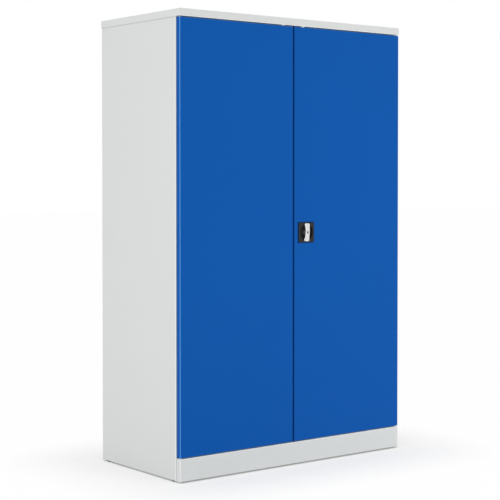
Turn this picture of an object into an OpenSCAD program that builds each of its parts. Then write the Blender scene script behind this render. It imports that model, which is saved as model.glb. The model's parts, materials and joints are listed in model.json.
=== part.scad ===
// Two-door steel tool cabinet: a folded-sheet body with cap and plinth, four shelves on
// perforated uprights, two pin-hung doors, a turn handle that throws two locking rods in the
// right door, and two slide bolts in the left door.
// X runs to the right along the front, Y runs back and Z up. The doors are closed.

/* [Overall size] */
// Height from the floor to the top of the cap
height = 1950; // [1800:10:2100]
// Width over the two side panels
body_w = 1236; // [1100:4:1400]
// Depth from the door faces to the rear of the side panels
depth = 600; // [520:10:700]

/* [Sheet metal] */
// Thickness of the folded panels
sheet = 1; // [0.8:0.1:1.2]
// Outer radius of their bends
bend_r = 3; // [2.5:0.5:4]
// Thickness of brackets and small strips
strip_t = 1.5; // [1.2:0.1:2]
// Width of the side panels' returns
side_return = 30; // [26:1:36]
// Width of the lip behind each front post
post_lip = 15; // [12:1:18]

/* [Cap, plinth and floor] */
// Height of the cap's skirt
cap_skirt = 32; // [28:1:40]
// Distance that the cap stands out from the sides and the rear
cap_over = 1.5; // [1.4:0.1:3]
// Depth of the cap's front channel and of the plinth, in front of the body
front_d = 28; // [28:1:30]
// Height of the plinth's top above the floor
plinth_top = 100; // [80:1:130]
// Height of the glides, which is the gap under the body
glide_h = 5; // [4:0.5:8]
// Height of the floor panel's upper face
floor_top = 130; // [125:1:160]
// Depth of the floor panel's folds
floor_fold = 48; // [46:1:60]
// Height of the rail under the cap
rail_h = 61; // [50:1:80]

/* [Shelves] */
// Distance from one shelf to the next, a multiple of the slot pitch
shelf_step = 350; // [325:25:375]
// Height of a shelf's folded edge
shelf_h = 25; // [20:1:30]
// Distance from one slot in the uprights to the next
slot_pitch = 25; // [25:5:50]

/* [Doors] */
// Thickness of a door
door_t = 25; // [24:0.5:25]
// Gap between the doors and the cap
top_gap = 4; // [3:0.5:5]
// Gap between the doors and the plinth
bottom_gap = 3.5; // [3:0.5:5]
// Gap between the two doors
middle_gap = 5; // [2.5:0.5:6]
// Place of that gap along the front, left of the middle
split_x = -14; // [-30:1:0]
// Width of the lip behind each door edge
door_lip = 15; // [12:1:18]
// Distance of the hinge pins from the cabinet's side
hinge_in = 8; // [8:0.5:9]
// Distance of the hinge pins from the door faces
hinge_back = 12; // [11.5:0.5:12.5]
// Radius of the hinge pins
hinge_r = 3; // [2.5:0.1:3.5]

/* [Handle and lock] */
// Distance of the handle's middle from the gap between the doors
handle_in = 72; // [66:1:100]
// Height of the handle's middle
handle_z = 1017.5; // [900:0.5:1100]
// Width of the handle's pan
pan_w = 88; // [86:1:94]
// Height of the handle's pan
pan_h = 87; // [86:1:94]
// Thickness of the pan's flange in front of the door
pan_t = 2.5; // [2:0.1:3]
// Radius of the dish that the fingers reach into
dish_r = 35; // [33:0.5:36]
// Length of the grip
grip_l = 80; // [70:1:84]
// Width of the grip at its ends
grip_w = 28; // [24:1:32]
// Distance from the door faces to the front of the grip
grip_proud = 12; // [11:0.5:14]
// Distance by which the grip's ends lie behind its middle
grip_rise = 6; // [5:0.5:7]
// Angle at which the grip stands, clockwise from upright
grip_lean = 2.7; // [0:0.1:5]
// Travel of each locking rod in a quarter turn of the handle
rod_travel = 20; // [19:0.5:22]
// Radius of the locking rods and of the slide bolts
rod_r = 4; // [3.5:0.1:4]
// Distance of the slide bolts from the gap between the doors
bolt_in = 34; // [32:1:60]

/* [Hidden] */
$fn = 48;
cut = 1;           // how far a cutting shape runs past the face that it cuts
fit = 0.05;        // radial clearance of a shaft that turns in a bore
slack = 0.3;       // clearance of a piece that slides past another or is dropped in

// Colours
body_grey = "#d9dcda";
door_blue = "#17559f";
dark_plastic = "#26282a";
white_plastic = "#f0f0ee";
zinc = "#b9bdc0";
bright_metal = "#dcdcda";
rubber_black = "#1c1c1c";

// Corners of an outline that are bent: [side, height], -1 being low and 1 high
tops = [[-1, 1], [1, 1]];
low_tops = [[-1, 1], [1, 1], [-1, -1]];
right_corners = [[1, 1], [1, -1]];
all_corners = [[-1, 1], [1, 1], [-1, -1], [1, -1]];

// Body
half_w = body_w / 2;
cap_w = body_w + 2 * cap_over;
cap_d = depth + cap_over;
cap_bottom = height - cap_skirt;
side_top = height - sheet;
rear_y = depth;
back_y = depth - 2 * sheet;         // front face of the back panel
middle_y = (cap_d - grip_proud) / 2;  // middle of the whole depth, where the origin lies
rail_bottom = side_top - rail_h;
post_x = half_w - side_return;      // inner face of the front posts
return_x = half_w - side_return / 2;  // middle of the sides' returns
channel_lip = 15;                   // upright lip at the rear of the cap's and plinth's channel
rail_d = 30;                        // depth of the rail under the cap
base_rail = [32, 34];               // depth and height of the rail across the back of the base
notch_gap = 0.5;                    // between the floor panel's notches and the front posts

// Uprights and shelves
shelf_n = 4;
upright_w = 30;
upright_d = 12;
upright_in = [64, 24];              // from the door faces and from the back panel to an upright
upright_y = [upright_in[0], back_y - upright_in[1] - upright_w];
upright_gap = 8;                    // between the uprights and the rail above them
upright_top = rail_bottom - upright_gap;
upright_face = -half_w + sheet + upright_d;
slot_w = 12;
slot_h = 5;
first_slot_up = 20;                 // from the floor panel to the middle of the lowest slots
first_slot = floor_top + first_slot_up;
slot_n = 1 + floor((upright_top - slot_pitch / 2 - first_slot) / slot_pitch);
shelf_rest = 5;                     // from the middle of a slot up to the shelf on its clip
shelf_gap = 2;                      // between a shelf's end and the uprights
shelf_front_gap = 5;                // between a shelf and the front posts
shelf_rear_gap = 6;                 // between a shelf and the back panel
shelf_w = body_w - 2 * (sheet + upright_d + shelf_gap);
shelf_front = front_d + post_lip + shelf_front_gap;
shelf_d = back_y - shelf_rear_gap - shelf_front;
shelf_lip = 12;

// Doors
door_z = [plinth_top + bottom_gap, cap_bottom - top_gap];
left_x = [-half_w, split_x - middle_gap / 2];
right_x = [split_x + middle_gap / 2, half_w];
hinge_x = half_w - hinge_in;
hinge_plate = [60, 3];              // length and thickness of the plates that hold the pins
pin_head = [5, 3];                  // radius and thickness
washer_r = 7;
bush_r = 5;
bush_l = 12;
bush_flange_r = 6.5;
flange_t = 2;                       // thickness of the flanges of bushes and guides
stiffener_w = 60;
stiffener_d = 20;
stiffener_flange = 15;
stiffener_end = 24;                 // from a door's end to its stiffener

// Lock, measured from the door faces
handle_x = split_x + handle_in;
pan_corner = 9;
dish_floor = 9;                     // front of the dish's floor
dish_wall = 2;
collar_r = 13;
collar_t = 1.2;
boss_r = 9;                         // the grip's boss, which turns in the pan
spindle_r = 5;
grip_t = 2.7;
plug_r = 6;                         // the lock cylinder
plug_back = 5.5;
plug_gap = 0.5;                     // behind the lock cylinder in its bore
key_slot = [2.4, 10, 8.4];
stud = [36, 35.5];                  // places of the pan's four studs
stud_r = 4;
screw_r = 1.7;
case_front = dish_floor + dish_wall;
case_back = 22.5;
case_half = 27;
case_flange = 16;
case_h = 92;
rod_y = 14;                         // middle of the rods
hook_t = 3;
crank_r = rod_travel / sqrt(2);     // a quarter turn about the level moves a pin by the travel
cam_r = crank_r + 4;
cam_y = [16, 19];
crank_pin_r = 2.5;
pin_over = 0.2;                     // how far the crank pins reach past the hooks
crank_play = 0.5;                   // covers the sine of the crank against the rods' even travel
hook_in = 5.5;
hook_out = 19;
hook_low = 16;
hook_top = 50;
hook_head = 12;                     // height of the hook's part that the rod is welded to
hook_side = 1;                      // from the rod to the edge of that part
weld_l = 10;                        // length of the rod that lies on the hook
clip_t = 1;
clip_play = 0.1;                    // between the case and the clip on the spindle
clip_ring = 3;                      // width of the clip round the spindle
spindle_tip = 0.3;                  // from the clip to the spindle's end
rod_end = 1.5;                      // from the ends of the door to the rods drawn in
rod_tip = 5;
guide_l = 9;
guide_r = 6.5;
guide_flange = 1.5;                 // width of the guides' flange
hole_play = 1.2;                    // round rods and bolts in the cap and the plinth
hole_r = rod_r + hole_play;

// Slide bolts of the left door
bolt_x = split_x - bolt_in;
bolt_l = 124;
bracket_w = 26;
bracket_h = 90;
bracket_gap = 20;                   // between a bolt's end guide and its bracket
bracket_low = -guide_l - bracket_gap - bracket_h;
ear_t = 2;
ear_over = 3;                       // from the bolt to the end of the bracket's ears
knob_r = 5;
knob_l = 6;
knob_stem_r = 3;
knob_back = 34;

// Fasteners and small parts
frame_screw_r = 2;
frame_screw_x = [-540, -180, 180, 540];
frame_head = [4, 2.2];              // radius and thickness
rivet_r = 1.6;
rivet_head = [3.2, 1.1];            // radius and thickness
rivet_tail = 1;                     // thickness of the head inside
rivet_n = 8;
rivet_low = 160;
rivet_step = (cap_bottom - 100 - rivet_low) / (rivet_n - 1);
rivet_z = [for (i = [0:rivet_n - 1]) rivet_low + i * rivet_step];
wall_hole = [960, 1400, 4.5];       // spread along X, spread in height, radius
wall_hole_z = 1000;
buffer_r = 5;
buffer_x = 90;
pad = [10, 12];
pad_in = 1.5;                       // from the door faces to the pads
pad_x = 56;                         // from the gap between the doors to each pad
glide_r = 12;
glide_stem = [4, 4];                // radius, and height above the sides' returns
glide_y = [front_d + 32, rear_y - 40];

// ---- Helpers ----

module placed() {
    translate([0, -middle_y, 0]) children();
}

// A solid run of an outline along X; the outline's own axes become Y and Z
module along_x(length) {
    rotate([90, 0, 90]) linear_extrude(length, center = true) children();
}

// The same along Y; the outline's axes become X and Z
module along_y(length) {
    rotate([90, 0, 0]) linear_extrude(length, center = true) children();
}

// A bar along Y from one face to another
module bar_y(r, y0, y1) {
    translate([0, y0, 0]) rotate([-90, 0, 0]) cylinder(r = r, h = y1 - y0);
}

module block(low, high) {
    translate(low) cube(high - low);
}

// Rectangle, centred, with the named corners rounded
module outline(w, h, r, corners) {
    difference() {
        square([w, h], center = true);
        for (c = corners) {
            translate([c[0] * (w / 2 - r), c[1] * (h / 2 - r)]) difference() {
                translate([c[0] * r, c[1] * r]) square(2 * r, center = true);
                circle(r = r);
            }
        }
    }
}

// Block lying flat with the bends of a folded sheet on its long edges
module bent_block(w, d, h, r, across, along) {
    intersection() {
        along_y(d) outline(w, h, r, across);
        along_x(w) outline(d, h, r, along);
    }
}

// Folded tray lying face up, centred on its face, and open where the children cut it
module tray(w, d, h, across, along) {
    difference() {
        translate([0, 0, -h / 2]) bent_block(w, d, h, bend_r, across, along);
        translate([0, 0, -h / 2])
            bent_block(w - 2 * sheet, d - 2 * sheet, h - 2 * sheet, bend_r - sheet, across, along);
        children();
    }
}

// Turns a tray that lies face up so that its face looks to the front
module face_front() {
    rotate([90, 0, 0]) children();
}

// ---- Body ----

module side_panel() {
    panel_h = side_top - glide_h;
    panel_d = depth - front_d;
    difference() {
        translate([-half_w, front_d + panel_d / 2, glide_h + panel_h / 2]) rotate([0, -90, 0])
            tray(panel_h, panel_d, side_return, tops, low_tops)
                translate([0, post_lip / 2 + cut / 2, -side_return])
                    cube([panel_h - 2 * sheet, panel_d - post_lip + cut, 4 * sheet], center = true);
        block([-half_w - cut, rear_y - bend_r + sheet, side_top - bend_r + sheet],
              [-post_x + cut, rear_y + cut, side_top + cut]);
        for (z = rivet_z)
            translate([-return_x, 0, z]) bar_y(rivet_r, rear_y - sheet - cut, rear_y + cut);
        for (y = glide_y)
            translate([-return_x, y, 0]) cylinder(r = glide_stem[0], h = glide_h + sheet + cut);
    }
}

module side_panel_left() {
    color(body_grey) placed() side_panel();
}

module side_panel_right() {
    color(body_grey) placed() mirror([1, 0, 0]) side_panel();
}

// Flat sheet with four holes for wall fixings
module back_panel() {
    panel_low = glide_h + sheet;
    panel_high = side_top - sheet;
    half = half_w - bend_r;
    color(body_grey) placed() difference() {
        block([-half, back_y, panel_low], [half, back_y + sheet, panel_high]);
        for (x = [-0.5, 0.5], z = [-0.5, 0.5])
            translate([x * wall_hole[0], 0, wall_hole_z + z * wall_hole[1]])
                bar_y(wall_hole[2], back_y - cut, rear_y);
        for (x = [-return_x, return_x], z = rivet_z)
            translate([x, 0, z]) bar_y(rivet_r, back_y - cut, rear_y);
    }
}

// Lid with skirts all round and a closed channel along the front, over the doors
module top_cap() {
    color(body_grey) placed() difference() {
        union() {
            translate([0, cap_d / 2, height])
                tray(cap_w, cap_d, cap_skirt, tops, low_tops)
                    translate([0, (front_d - sheet) / 2, -cap_skirt])
                        cube([cap_w - 2 * sheet, cap_d - front_d - sheet, 4 * sheet],
                             center = true);
            block([-cap_w / 2 + sheet, front_d - sheet, cap_bottom],
                  [cap_w / 2 - sheet, front_d, cap_bottom + channel_lip]);
        }
        front_holes(cap_bottom - cut, cap_bottom + sheet + cut);
        for (x = frame_screw_x)
            translate([x, 0, cap_bottom + channel_lip / 2])
                bar_y(frame_screw_r, front_d - sheet - cut, front_d + cut);
    }
}

// Holes for the hinge pins, the locking rod and the bolt in a sheet in front of the body
module front_holes(z0, z1) {
    for (x = [-hinge_x, hinge_x]) translate([x, hinge_back, z0]) cylinder(r = hinge_r, h = z1 - z0);
    for (x = [handle_x, bolt_x]) translate([x, rod_y, z0]) cylinder(r = hole_r, h = z1 - z0);
}

module plinth() {
    panel_h = plinth_top - glide_h;
    color(body_grey) placed() difference() {
        translate([0, 0, glide_h + panel_h / 2]) face_front()
            tray(body_w, panel_h, front_d, all_corners, all_corners)
                translate([0, -channel_lip / 2 - cut / 2, -front_d])
                    cube([body_w - 2 * channel_lip, panel_h - channel_lip + cut, 4 * sheet],
                         center = true);
        front_holes(plinth_top - sheet - cut, plinth_top + cut);
        for (x = frame_screw_x)
            translate([x, 0, plinth_top - channel_lip / 2])
                bar_y(frame_screw_r, front_d - sheet - cut, front_d + cut);
    }
}

// Lowest shelf, folded down all round and notched round the front posts
module floor_panel() {
    panel_w = body_w - 2 * sheet;
    panel_d = back_y - sheet - front_d;
    notch_x = post_x - notch_gap;
    notch_y = front_d + post_lip + notch_gap;
    color(body_grey) placed() difference() {
        translate([0, front_d + panel_d / 2, floor_top])
            tray(panel_w, panel_d, floor_fold, tops, tops)
                translate([0, 0, -floor_fold])
                    cube([panel_w - 2 * sheet, panel_d - 2 * sheet, 4 * sheet], center = true);
        for (s = [-1, 1])
            translate([s * (notch_x + side_return / 2 + cut), notch_y - side_return / 2,
                       floor_top - floor_fold / 2])
                cube([side_return + 2 * cut, side_return, floor_fold + 2 * cut], center = true);
        for (x = frame_screw_x)
            translate([x, 0, plinth_top - channel_lip / 2])
                bar_y(frame_screw_r, front_d - cut, front_d + sheet + cut);
    }
}

// Channel between the front posts, under the cap, that the doors close against
module top_front_rail() {
    color(body_grey) placed() difference() {
        translate([0, front_d + rail_d / 2, side_top - rail_h / 2]) along_x(2 * post_x) difference() {
            outline(rail_d, rail_h, bend_r, all_corners);
            outline(rail_d - 2 * sheet, rail_h - 2 * sheet, bend_r - sheet, all_corners);
            translate([rail_d / 2, channel_lip / 2])
                square([4 * sheet, rail_h - channel_lip], center = true);
        }
        for (x = frame_screw_x)
            translate([x, 0, cap_bottom + channel_lip / 2])
                bar_y(frame_screw_r, front_d - cut, front_d + sheet + cut);
    }
}

// Channel across the back of the base, standing on the sides' lower returns
module rear_base_rail() {
    d = base_rail[0];
    h = base_rail[1];
    color(body_grey) placed()
        translate([0, back_y - d / 2, glide_h + sheet + h / 2])
            along_x(2 * (half_w - bend_r)) difference() {
                outline(d, h, bend_r, all_corners);
                translate([-strip_t, 0])
                    outline(d, h - 2 * strip_t, bend_r - strip_t, all_corners);
            }
}

// Perforated channel that carries the shelf clips, for the left wall
module upright(y0) {
    difference() {
        translate([upright_face - upright_d / 2, y0 + upright_w / 2, floor_top])
            linear_extrude(upright_top - floor_top) difference() {
                outline(upright_d, upright_w, bend_r, right_corners);
                translate([-strip_t, 0])
                    outline(upright_d, upright_w - 2 * strip_t, bend_r - strip_t, right_corners);
            }
        for (i = [0:slot_n - 1])
            translate([upright_face, y0 + upright_w / 2, first_slot + i * slot_pitch])
                cube([4 * strip_t, slot_w, slot_h], center = true);
    }
}

module shelf_upright_front_left() {
    color(body_grey) placed() upright(upright_y[0]);
}

module shelf_upright_front_right() {
    color(body_grey) placed() mirror([1, 0, 0]) upright(upright_y[0]);
}

module shelf_upright_rear_left() {
    color(body_grey) placed() upright(upright_y[1]);
}

module shelf_upright_rear_right() {
    color(body_grey) placed() mirror([1, 0, 0]) upright(upright_y[1]);
}

// Height of the middle of the slots that carry shelf i, counted from 0
function shelf_slot(i) = first_slot + (i + 1) * shelf_step - slot_pitch;

module shelf(i) {
    shelf_z = shelf_slot(i) + shelf_rest;
    color(body_grey) placed()
        translate([0, shelf_front + shelf_d / 2, shelf_z + shelf_h])
            tray(shelf_w, shelf_d, shelf_h, tops, all_corners)
                translate([0, 0, -shelf_h])
                    cube([shelf_w - 2 * sheet, shelf_d - 2 * shelf_lip, 4 * sheet], center = true);
}

module shelf_1() { shelf(0); }
module shelf_2() { shelf(1); }
module shelf_3() { shelf(2); }
module shelf_4() { shelf(3); }

// Clip hooked into an upright's slot, with a tongue under the shelf
module shelf_clip() {
    tongue = [15, 18, 2];
    nose = 6;                       // how far plate and hook reach below the slot's middle
    hook = 1.3;                     // thickness of the hook behind the upright
    reach = 3.6;                    // from the upright's face to the back of the hook
    neck = [slot_w - 2, slot_h - 1];
    union() {
        block([0, -tongue[1] / 2, -nose], [strip_t, tongue[1] / 2, shelf_rest]);
        block([0, -tongue[1] / 2, shelf_rest - tongue[2]], [tongue[0], tongue[1] / 2, shelf_rest]);
        block([-reach, -neck[0] / 2, -neck[1] / 2], [strip_t, neck[0] / 2, neck[1] / 2]);
        block([-reach, -neck[0] / 2, -nose], [-reach + hook, neck[0] / 2, neck[1] / 2]);
    }
}

module shelf_clips() {
    color(zinc) placed()
        for (side = [0, 1], y = upright_y, i = [0:shelf_n - 1]) mirror([side, 0, 0])
            translate([upright_face, y + upright_w / 2, shelf_slot(i)]) shelf_clip();
}

// Round plastic glides pressed into the sides' lower returns
module base_glides() {
    color(dark_plastic) placed()
        for (x = [-return_x, return_x], y = glide_y) translate([x, y, 0]) union() {
            cylinder(r = glide_r, h = glide_h);
            cylinder(r = glide_stem[0], h = glide_h + sheet + glide_stem[1]);
        }
}

module frame_screw() {
    union() {
        bar_y(frame_screw_r, front_d - 2 * sheet, front_d + sheet);
        bar_y(frame_head[0], front_d + sheet, front_d + sheet + frame_head[1]);
    }
}

// Screws that hold the cap to the rail and the plinth to the floor panel
module frame_screws() {
    color(zinc) placed()
        for (x = frame_screw_x, z = [cap_bottom + channel_lip / 2, plinth_top - channel_lip / 2])
            translate([x, 0, z]) frame_screw();
}

module back_rivets() {
    color(zinc) placed()
        for (x = [-return_x, return_x], z = rivet_z) translate([x, 0, z]) union() {
            bar_y(rivet_r, back_y - sheet, rear_y);
            bar_y(rivet_head[0], rear_y, rear_y + rivet_head[1]);
            bar_y(rivet_head[0], back_y - rivet_tail, back_y);
        }
}

// Rubber stops for the doors, on the rail and on the floor panel's front fold
module door_buffers() {
    buffer_t = front_d - door_t - slack;
    color(rubber_black) placed()
        for (x = [-buffer_x, buffer_x], z = [door_z[1] - door_lip / 2, door_z[0] + door_lip / 2])
            translate([split_x + x, 0, z]) bar_y(buffer_r, front_d - buffer_t, front_d);
}

// White pads under the cap that keep the doors' free corners level
module door_pads() {
    color(white_plastic) placed()
        for (x = [-pad_x, pad_x])
            block([split_x + x - pad[0] / 2, pad_in, door_z[1] + slack],
                  [split_x + x + pad[0] / 2, pad_in + pad[1], cap_bottom]);
}

// ---- Hinges ----

module hinge_plates(z) {
    for (s = [0, 1]) mirror([s, 0, 0]) difference() {
        block([-half_w + bend_r, bend_r, z],
              [-half_w + hinge_plate[0], front_d - bend_r, z + hinge_plate[1]]);
        translate([-hinge_x, hinge_back, z - cut])
            cylinder(r = hinge_r, h = hinge_plate[1] + 2 * cut);
    }
}

module upper_hinge_brackets() {
    color(zinc) placed() hinge_plates(cap_bottom + sheet);
}

module lower_hinge_brackets() {
    color(zinc) placed() hinge_plates(plinth_top - sheet - hinge_plate[1]);
}

// Pin with a head, pointing up from its head
module hinge_pin(length) {
    union() {
        cylinder(r = pin_head[0], h = pin_head[1]);
        cylinder(r = hinge_r, h = pin_head[1] + length);
    }
}

module upper_hinge_pins() {
    top = cap_bottom + sheet + hinge_plate[1] + pin_head[1];
    color(zinc) placed()
        for (x = [-hinge_x, hinge_x]) translate([x, hinge_back, top]) mirror([0, 0, 1])
            hinge_pin(hinge_plate[1] + sheet + top_gap + bush_l);
}

module lower_hinge_pins() {
    bottom = plinth_top - sheet - hinge_plate[1] - pin_head[1];
    color(zinc) placed()
        for (x = [-hinge_x, hinge_x]) translate([x, hinge_back, bottom])
            hinge_pin(hinge_plate[1] + sheet + bottom_gap + bush_l);
}

// Nylon washers that carry the doors
module hinge_washers() {
    color(white_plastic) placed()
        for (x = [-hinge_x, hinge_x]) translate([x, hinge_back, plinth_top]) difference() {
            cylinder(r = washer_r, h = bottom_gap);
            translate([0, 0, -cut]) cylinder(r = hinge_r + fit, h = bottom_gap + 2 * cut);
        }
}

// The two bushes of one door: a sleeve through the door's end with a flange inside
module hinge_bushes(x) {
    for (top = [0, 1])
        translate([x, hinge_back, door_z[top]]) mirror([0, 0, top]) difference() {
            union() {
                cylinder(r = bush_r, h = bush_l);
                translate([0, 0, sheet]) cylinder(r = bush_flange_r, h = flange_t);
            }
            translate([0, 0, -cut]) cylinder(r = hinge_r + fit, h = bush_l + 2 * cut);
        }
}

// ---- Doors ----

// Folded door between two places along the front, with a lip all round its rear
module door_tray(x) {
    w = x[1] - x[0];
    h = door_z[1] - door_z[0];
    translate([(x[0] + x[1]) / 2, 0, (door_z[0] + door_z[1]) / 2]) face_front()
        tray(w, h, door_t, all_corners, all_corners)
            translate([0, 0, -door_t])
                cube([w - 2 * door_lip, h - 2 * door_lip, 4 * sheet], center = true);
}

// Holes of the given radius through both ends of a door
module end_holes(x, y, r) {
    for (z = door_z) translate([x, y, z]) cylinder(r = r, h = 4 * sheet, center = true);
}

// Hat-shaped channel welded upright behind a door's skin
module stiffener(x) {
    translate([x, sheet + stiffener_d / 2, door_z[0] + stiffener_end])
        linear_extrude(door_z[1] - door_z[0] - 2 * stiffener_end) union() {
            difference() {
                outline(stiffener_w, stiffener_d, bend_r, tops);
                translate([0, -strip_t / 2 - cut / 2])
                    outline(stiffener_w - 2 * strip_t, stiffener_d - strip_t + cut,
                            bend_r - strip_t, tops);
            }
            for (s = [-1, 1])
                translate([s * (stiffener_w + stiffener_flange - strip_t) / 2,
                           (strip_t - stiffener_d) / 2])
                    square([stiffener_flange, strip_t], center = true);
        }
}

module door_left_panel() {
    color(door_blue) placed() difference() {
        door_tray(left_x);
        end_holes(-hinge_x, hinge_back, bush_r);
        end_holes(bolt_x, rod_y, guide_r);
    }
}

module door_left_stiffener() {
    color(door_blue) placed() stiffener((left_x[0] + left_x[1]) / 2);
}

module door_left_hinge_bushes() {
    color(dark_plastic) placed() hinge_bushes(-hinge_x);
}

module door_right_panel() {
    color(door_blue) placed() difference() {
        door_tray(right_x);
        end_holes(hinge_x, hinge_back, bush_r);
        end_holes(handle_x, rod_y, guide_r);
        translate([handle_x, 0, handle_z]) {
            bar_y(dish_r + dish_wall + slack, -cut, sheet + cut);
            for (x = [-1, 1], z = [-1, 1]) translate([x * stud[0], 0, z * stud[1]])
                bar_y(stud_r + slack, -cut, sheet + cut);
        }
    }
}

module door_right_stiffener() {
    color(door_blue) placed() stiffener((right_x[0] + right_x[1]) / 2);
}

module door_right_hinge_bushes() {
    color(dark_plastic) placed() hinge_bushes(hinge_x);
}

// Guides pressed into both ends of a door, for a rod or bolt
module end_guides(x) {
    for (top = [0, 1]) translate([x, rod_y, door_z[top]]) mirror([0, 0, top]) difference() {
        union() {
            cylinder(r = guide_r, h = guide_l);
            translate([0, 0, sheet]) cylinder(r = guide_r + guide_flange, h = flange_t);
        }
        translate([0, 0, -cut]) cylinder(r = rod_r + slack, h = guide_l + 2 * cut);
    }
}

// ---- Slide bolts of the left door ----

// Everything here is drawn for the upper bolt; the lower one is its mirror image
module bolt_side(top) {
    translate([bolt_x, 0, door_z[top]]) mirror([0, 0, 1 - top]) children();
}

module bolt_bracket() {
    difference() {
        union() {
            block([-bracket_w / 2, sheet, bracket_low],
                  [bracket_w / 2, sheet + strip_t, bracket_low + bracket_h]);
            for (z = [bracket_low, bracket_low + bracket_h - ear_t])
                block([-bracket_w / 2, sheet, z],
                      [bracket_w / 2, rod_y + rod_r + ear_over, z + ear_t]);
        }
        translate([0, rod_y, bracket_low - cut])
            cylinder(r = rod_r + slack, h = bracket_h + 2 * cut);
    }
}

module bolt_brackets() {
    color(zinc) placed() for (top = [0, 1]) bolt_side(top) bolt_bracket();
}

module bolt_end_guides() {
    color(dark_plastic) placed() end_guides(bolt_x);
}

// Bolt drawn in, with a knob to slide it by
module bolt() {
    knob_z = bracket_low + bracket_h / 2;
    union() {
        translate([0, rod_y, -rod_end - bolt_l]) cylinder(r = rod_r, h = bolt_l - rod_tip);
        translate([0, rod_y, -rod_end - rod_tip]) cylinder(r1 = rod_r, r2 = rod_r / 2, h = rod_tip);
        translate([0, 0, knob_z]) bar_y(knob_stem_r, rod_y, knob_back - knob_l + cut);
        translate([0, 0, knob_z]) bar_y(knob_r, knob_back - knob_l, knob_back);
    }
}

module upper_bolt() {
    color(zinc) placed() bolt_side(1) bolt();
}

module lower_bolt() {
    color(zinc) placed() bolt_side(0) bolt();
}

// ---- Handle and lock of the right door ----

module at_handle() {
    placed() translate([handle_x, 0, handle_z]) children();
}

// Black pan with a round dish, four studs and the collar that the grip turns in
module handle_pan() {
    color(dark_plastic) at_handle() difference() {
        union() {
            translate([0, -pan_t / 2, 0]) along_y(pan_t)
                outline(pan_w, pan_h, pan_corner, all_corners);
            bar_y(dish_r + dish_wall, -pan_t, case_front);
            bar_y(collar_r, case_front - cut, case_front + collar_t);
            for (x = [-1, 1], z = [-1, 1]) translate([x * stud[0], 0, z * stud[1]])
                bar_y(stud_r, -pan_t / 2, case_front);
        }
        bar_y(dish_r, -pan_t - cut, dish_floor);
        bar_y(boss_r + fit, dish_floor - cut, case_front + collar_t + cut);
        for (x = [-1, 1], z = [-1, 1]) translate([x * stud[0], 0, z * stud[1]])
            bar_y(screw_r, 0, case_front + cut);
    }
}

// Folded case over the mechanism, with the spindle's rear bearing
module lock_case() {
    case_d = case_back - case_front;
    color(zinc) at_handle() difference() {
        translate([0, case_front + case_d / 2, 0]) linear_extrude(case_h, center = true) union() {
            difference() {
                outline(2 * case_half, case_d, bend_r, tops);
                translate([0, -strip_t / 2 - cut / 2])
                    outline(2 * case_half - 2 * strip_t, case_d - strip_t + cut,
                            bend_r - strip_t, tops);
            }
            for (s = [-1, 1])
                translate([s * (case_half + case_flange / 2 - strip_t / 2), (strip_t - case_d) / 2])
                    square([case_flange + strip_t, strip_t], center = true);
        }
        bar_y(spindle_r + fit, case_back - strip_t - cut, case_back + cut);
        for (x = [-1, 1], z = [-1, 1]) translate([x * stud[0], 0, z * stud[1]])
            bar_y(screw_r + slack, case_front - cut, case_front + strip_t + cut);
    }
}

module handle_screws() {
    head = [3.6, 2];
    color(zinc) at_handle()
        for (x = [-1, 1], z = [-1, 1]) translate([x * stud[0], 0, z * stud[1]]) union() {
            bar_y(screw_r, cut, case_front + strip_t);
            bar_y(head[0], case_front + strip_t, case_front + strip_t + head[1]);
        }
}

// Bow-shaped grip with the boss and spindle that it turns on
module handle_grip() {
    half = grip_l / 2;
    bow_r = (half * half + grip_rise * grip_rise) / (2 * grip_rise);
    waist_cut = 3;                  // how far each side of the grip is drawn in at its waist
    waist_l = 57;                   // length over which it is drawn in
    waist_r = (waist_l * waist_l / 4 + waist_cut * waist_cut) / (2 * waist_cut);
    color(bright_metal) at_handle() difference() {
        union() {
            rotate([0, grip_lean, 0]) intersection() {
                translate([0, bow_r - grip_proud, 0]) rotate([0, 90, 0]) difference() {
                    cylinder(r = bow_r, h = grip_w + 2 * cut, center = true, $fn = 96);
                    cylinder(r = bow_r - grip_t, h = grip_w + 4 * cut, center = true, $fn = 96);
                }
                translate([0, -grip_proud / 2, 0]) along_y(2 * grip_proud) difference() {
                    intersection() {
                        square([grip_w, grip_l], center = true);
                        circle(r = half, $fn = 96);
                    }
                    for (s = [-1, 1]) translate([s * (grip_w / 2 - waist_cut + waist_r), 0])
                        circle(r = waist_r, $fn = 96);
                }
            }
            bar_y(boss_r, -grip_proud + grip_t / 2, case_front + collar_t);
            bar_y(spindle_r, dish_floor, case_back + clip_play + clip_t + spindle_tip);
        }
        bar_y(plug_r + fit, -grip_proud - cut, plug_back + plug_gap);
    }
}

// Cylinder of the lock with its key slot upright
module lock_cylinder() {
    color(bright_metal) at_handle() difference() {
        bar_y(plug_r, -grip_proud, plug_back);
        translate([0, -grip_proud, 0]) cube([key_slot[0], 2 * key_slot[1], key_slot[2]], center = true);
    }
}

// Disc on the spindle with two crank pins that look to the front
module lock_cam() {
    color(zinc) at_handle() difference() {
        union() {
            bar_y(cam_r, cam_y[0], cam_y[1]);
            for (a = [-45, 135]) rotate([0, -a, 0]) translate([crank_r, 0, 0])
                bar_y(crank_pin_r, rod_y - hook_t / 2 - pin_over, cam_y[0] + cut);
        }
        bar_y(spindle_r, cam_y[0] - cut, cam_y[1] + cut);
    }
}

module spindle_clip() {
    color(zinc) at_handle() difference() {
        bar_y(spindle_r + clip_ring, case_back + clip_play, case_back + clip_play + clip_t);
        bar_y(spindle_r, case_back - cut, case_back + 2 * cut);
    }
}

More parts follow.
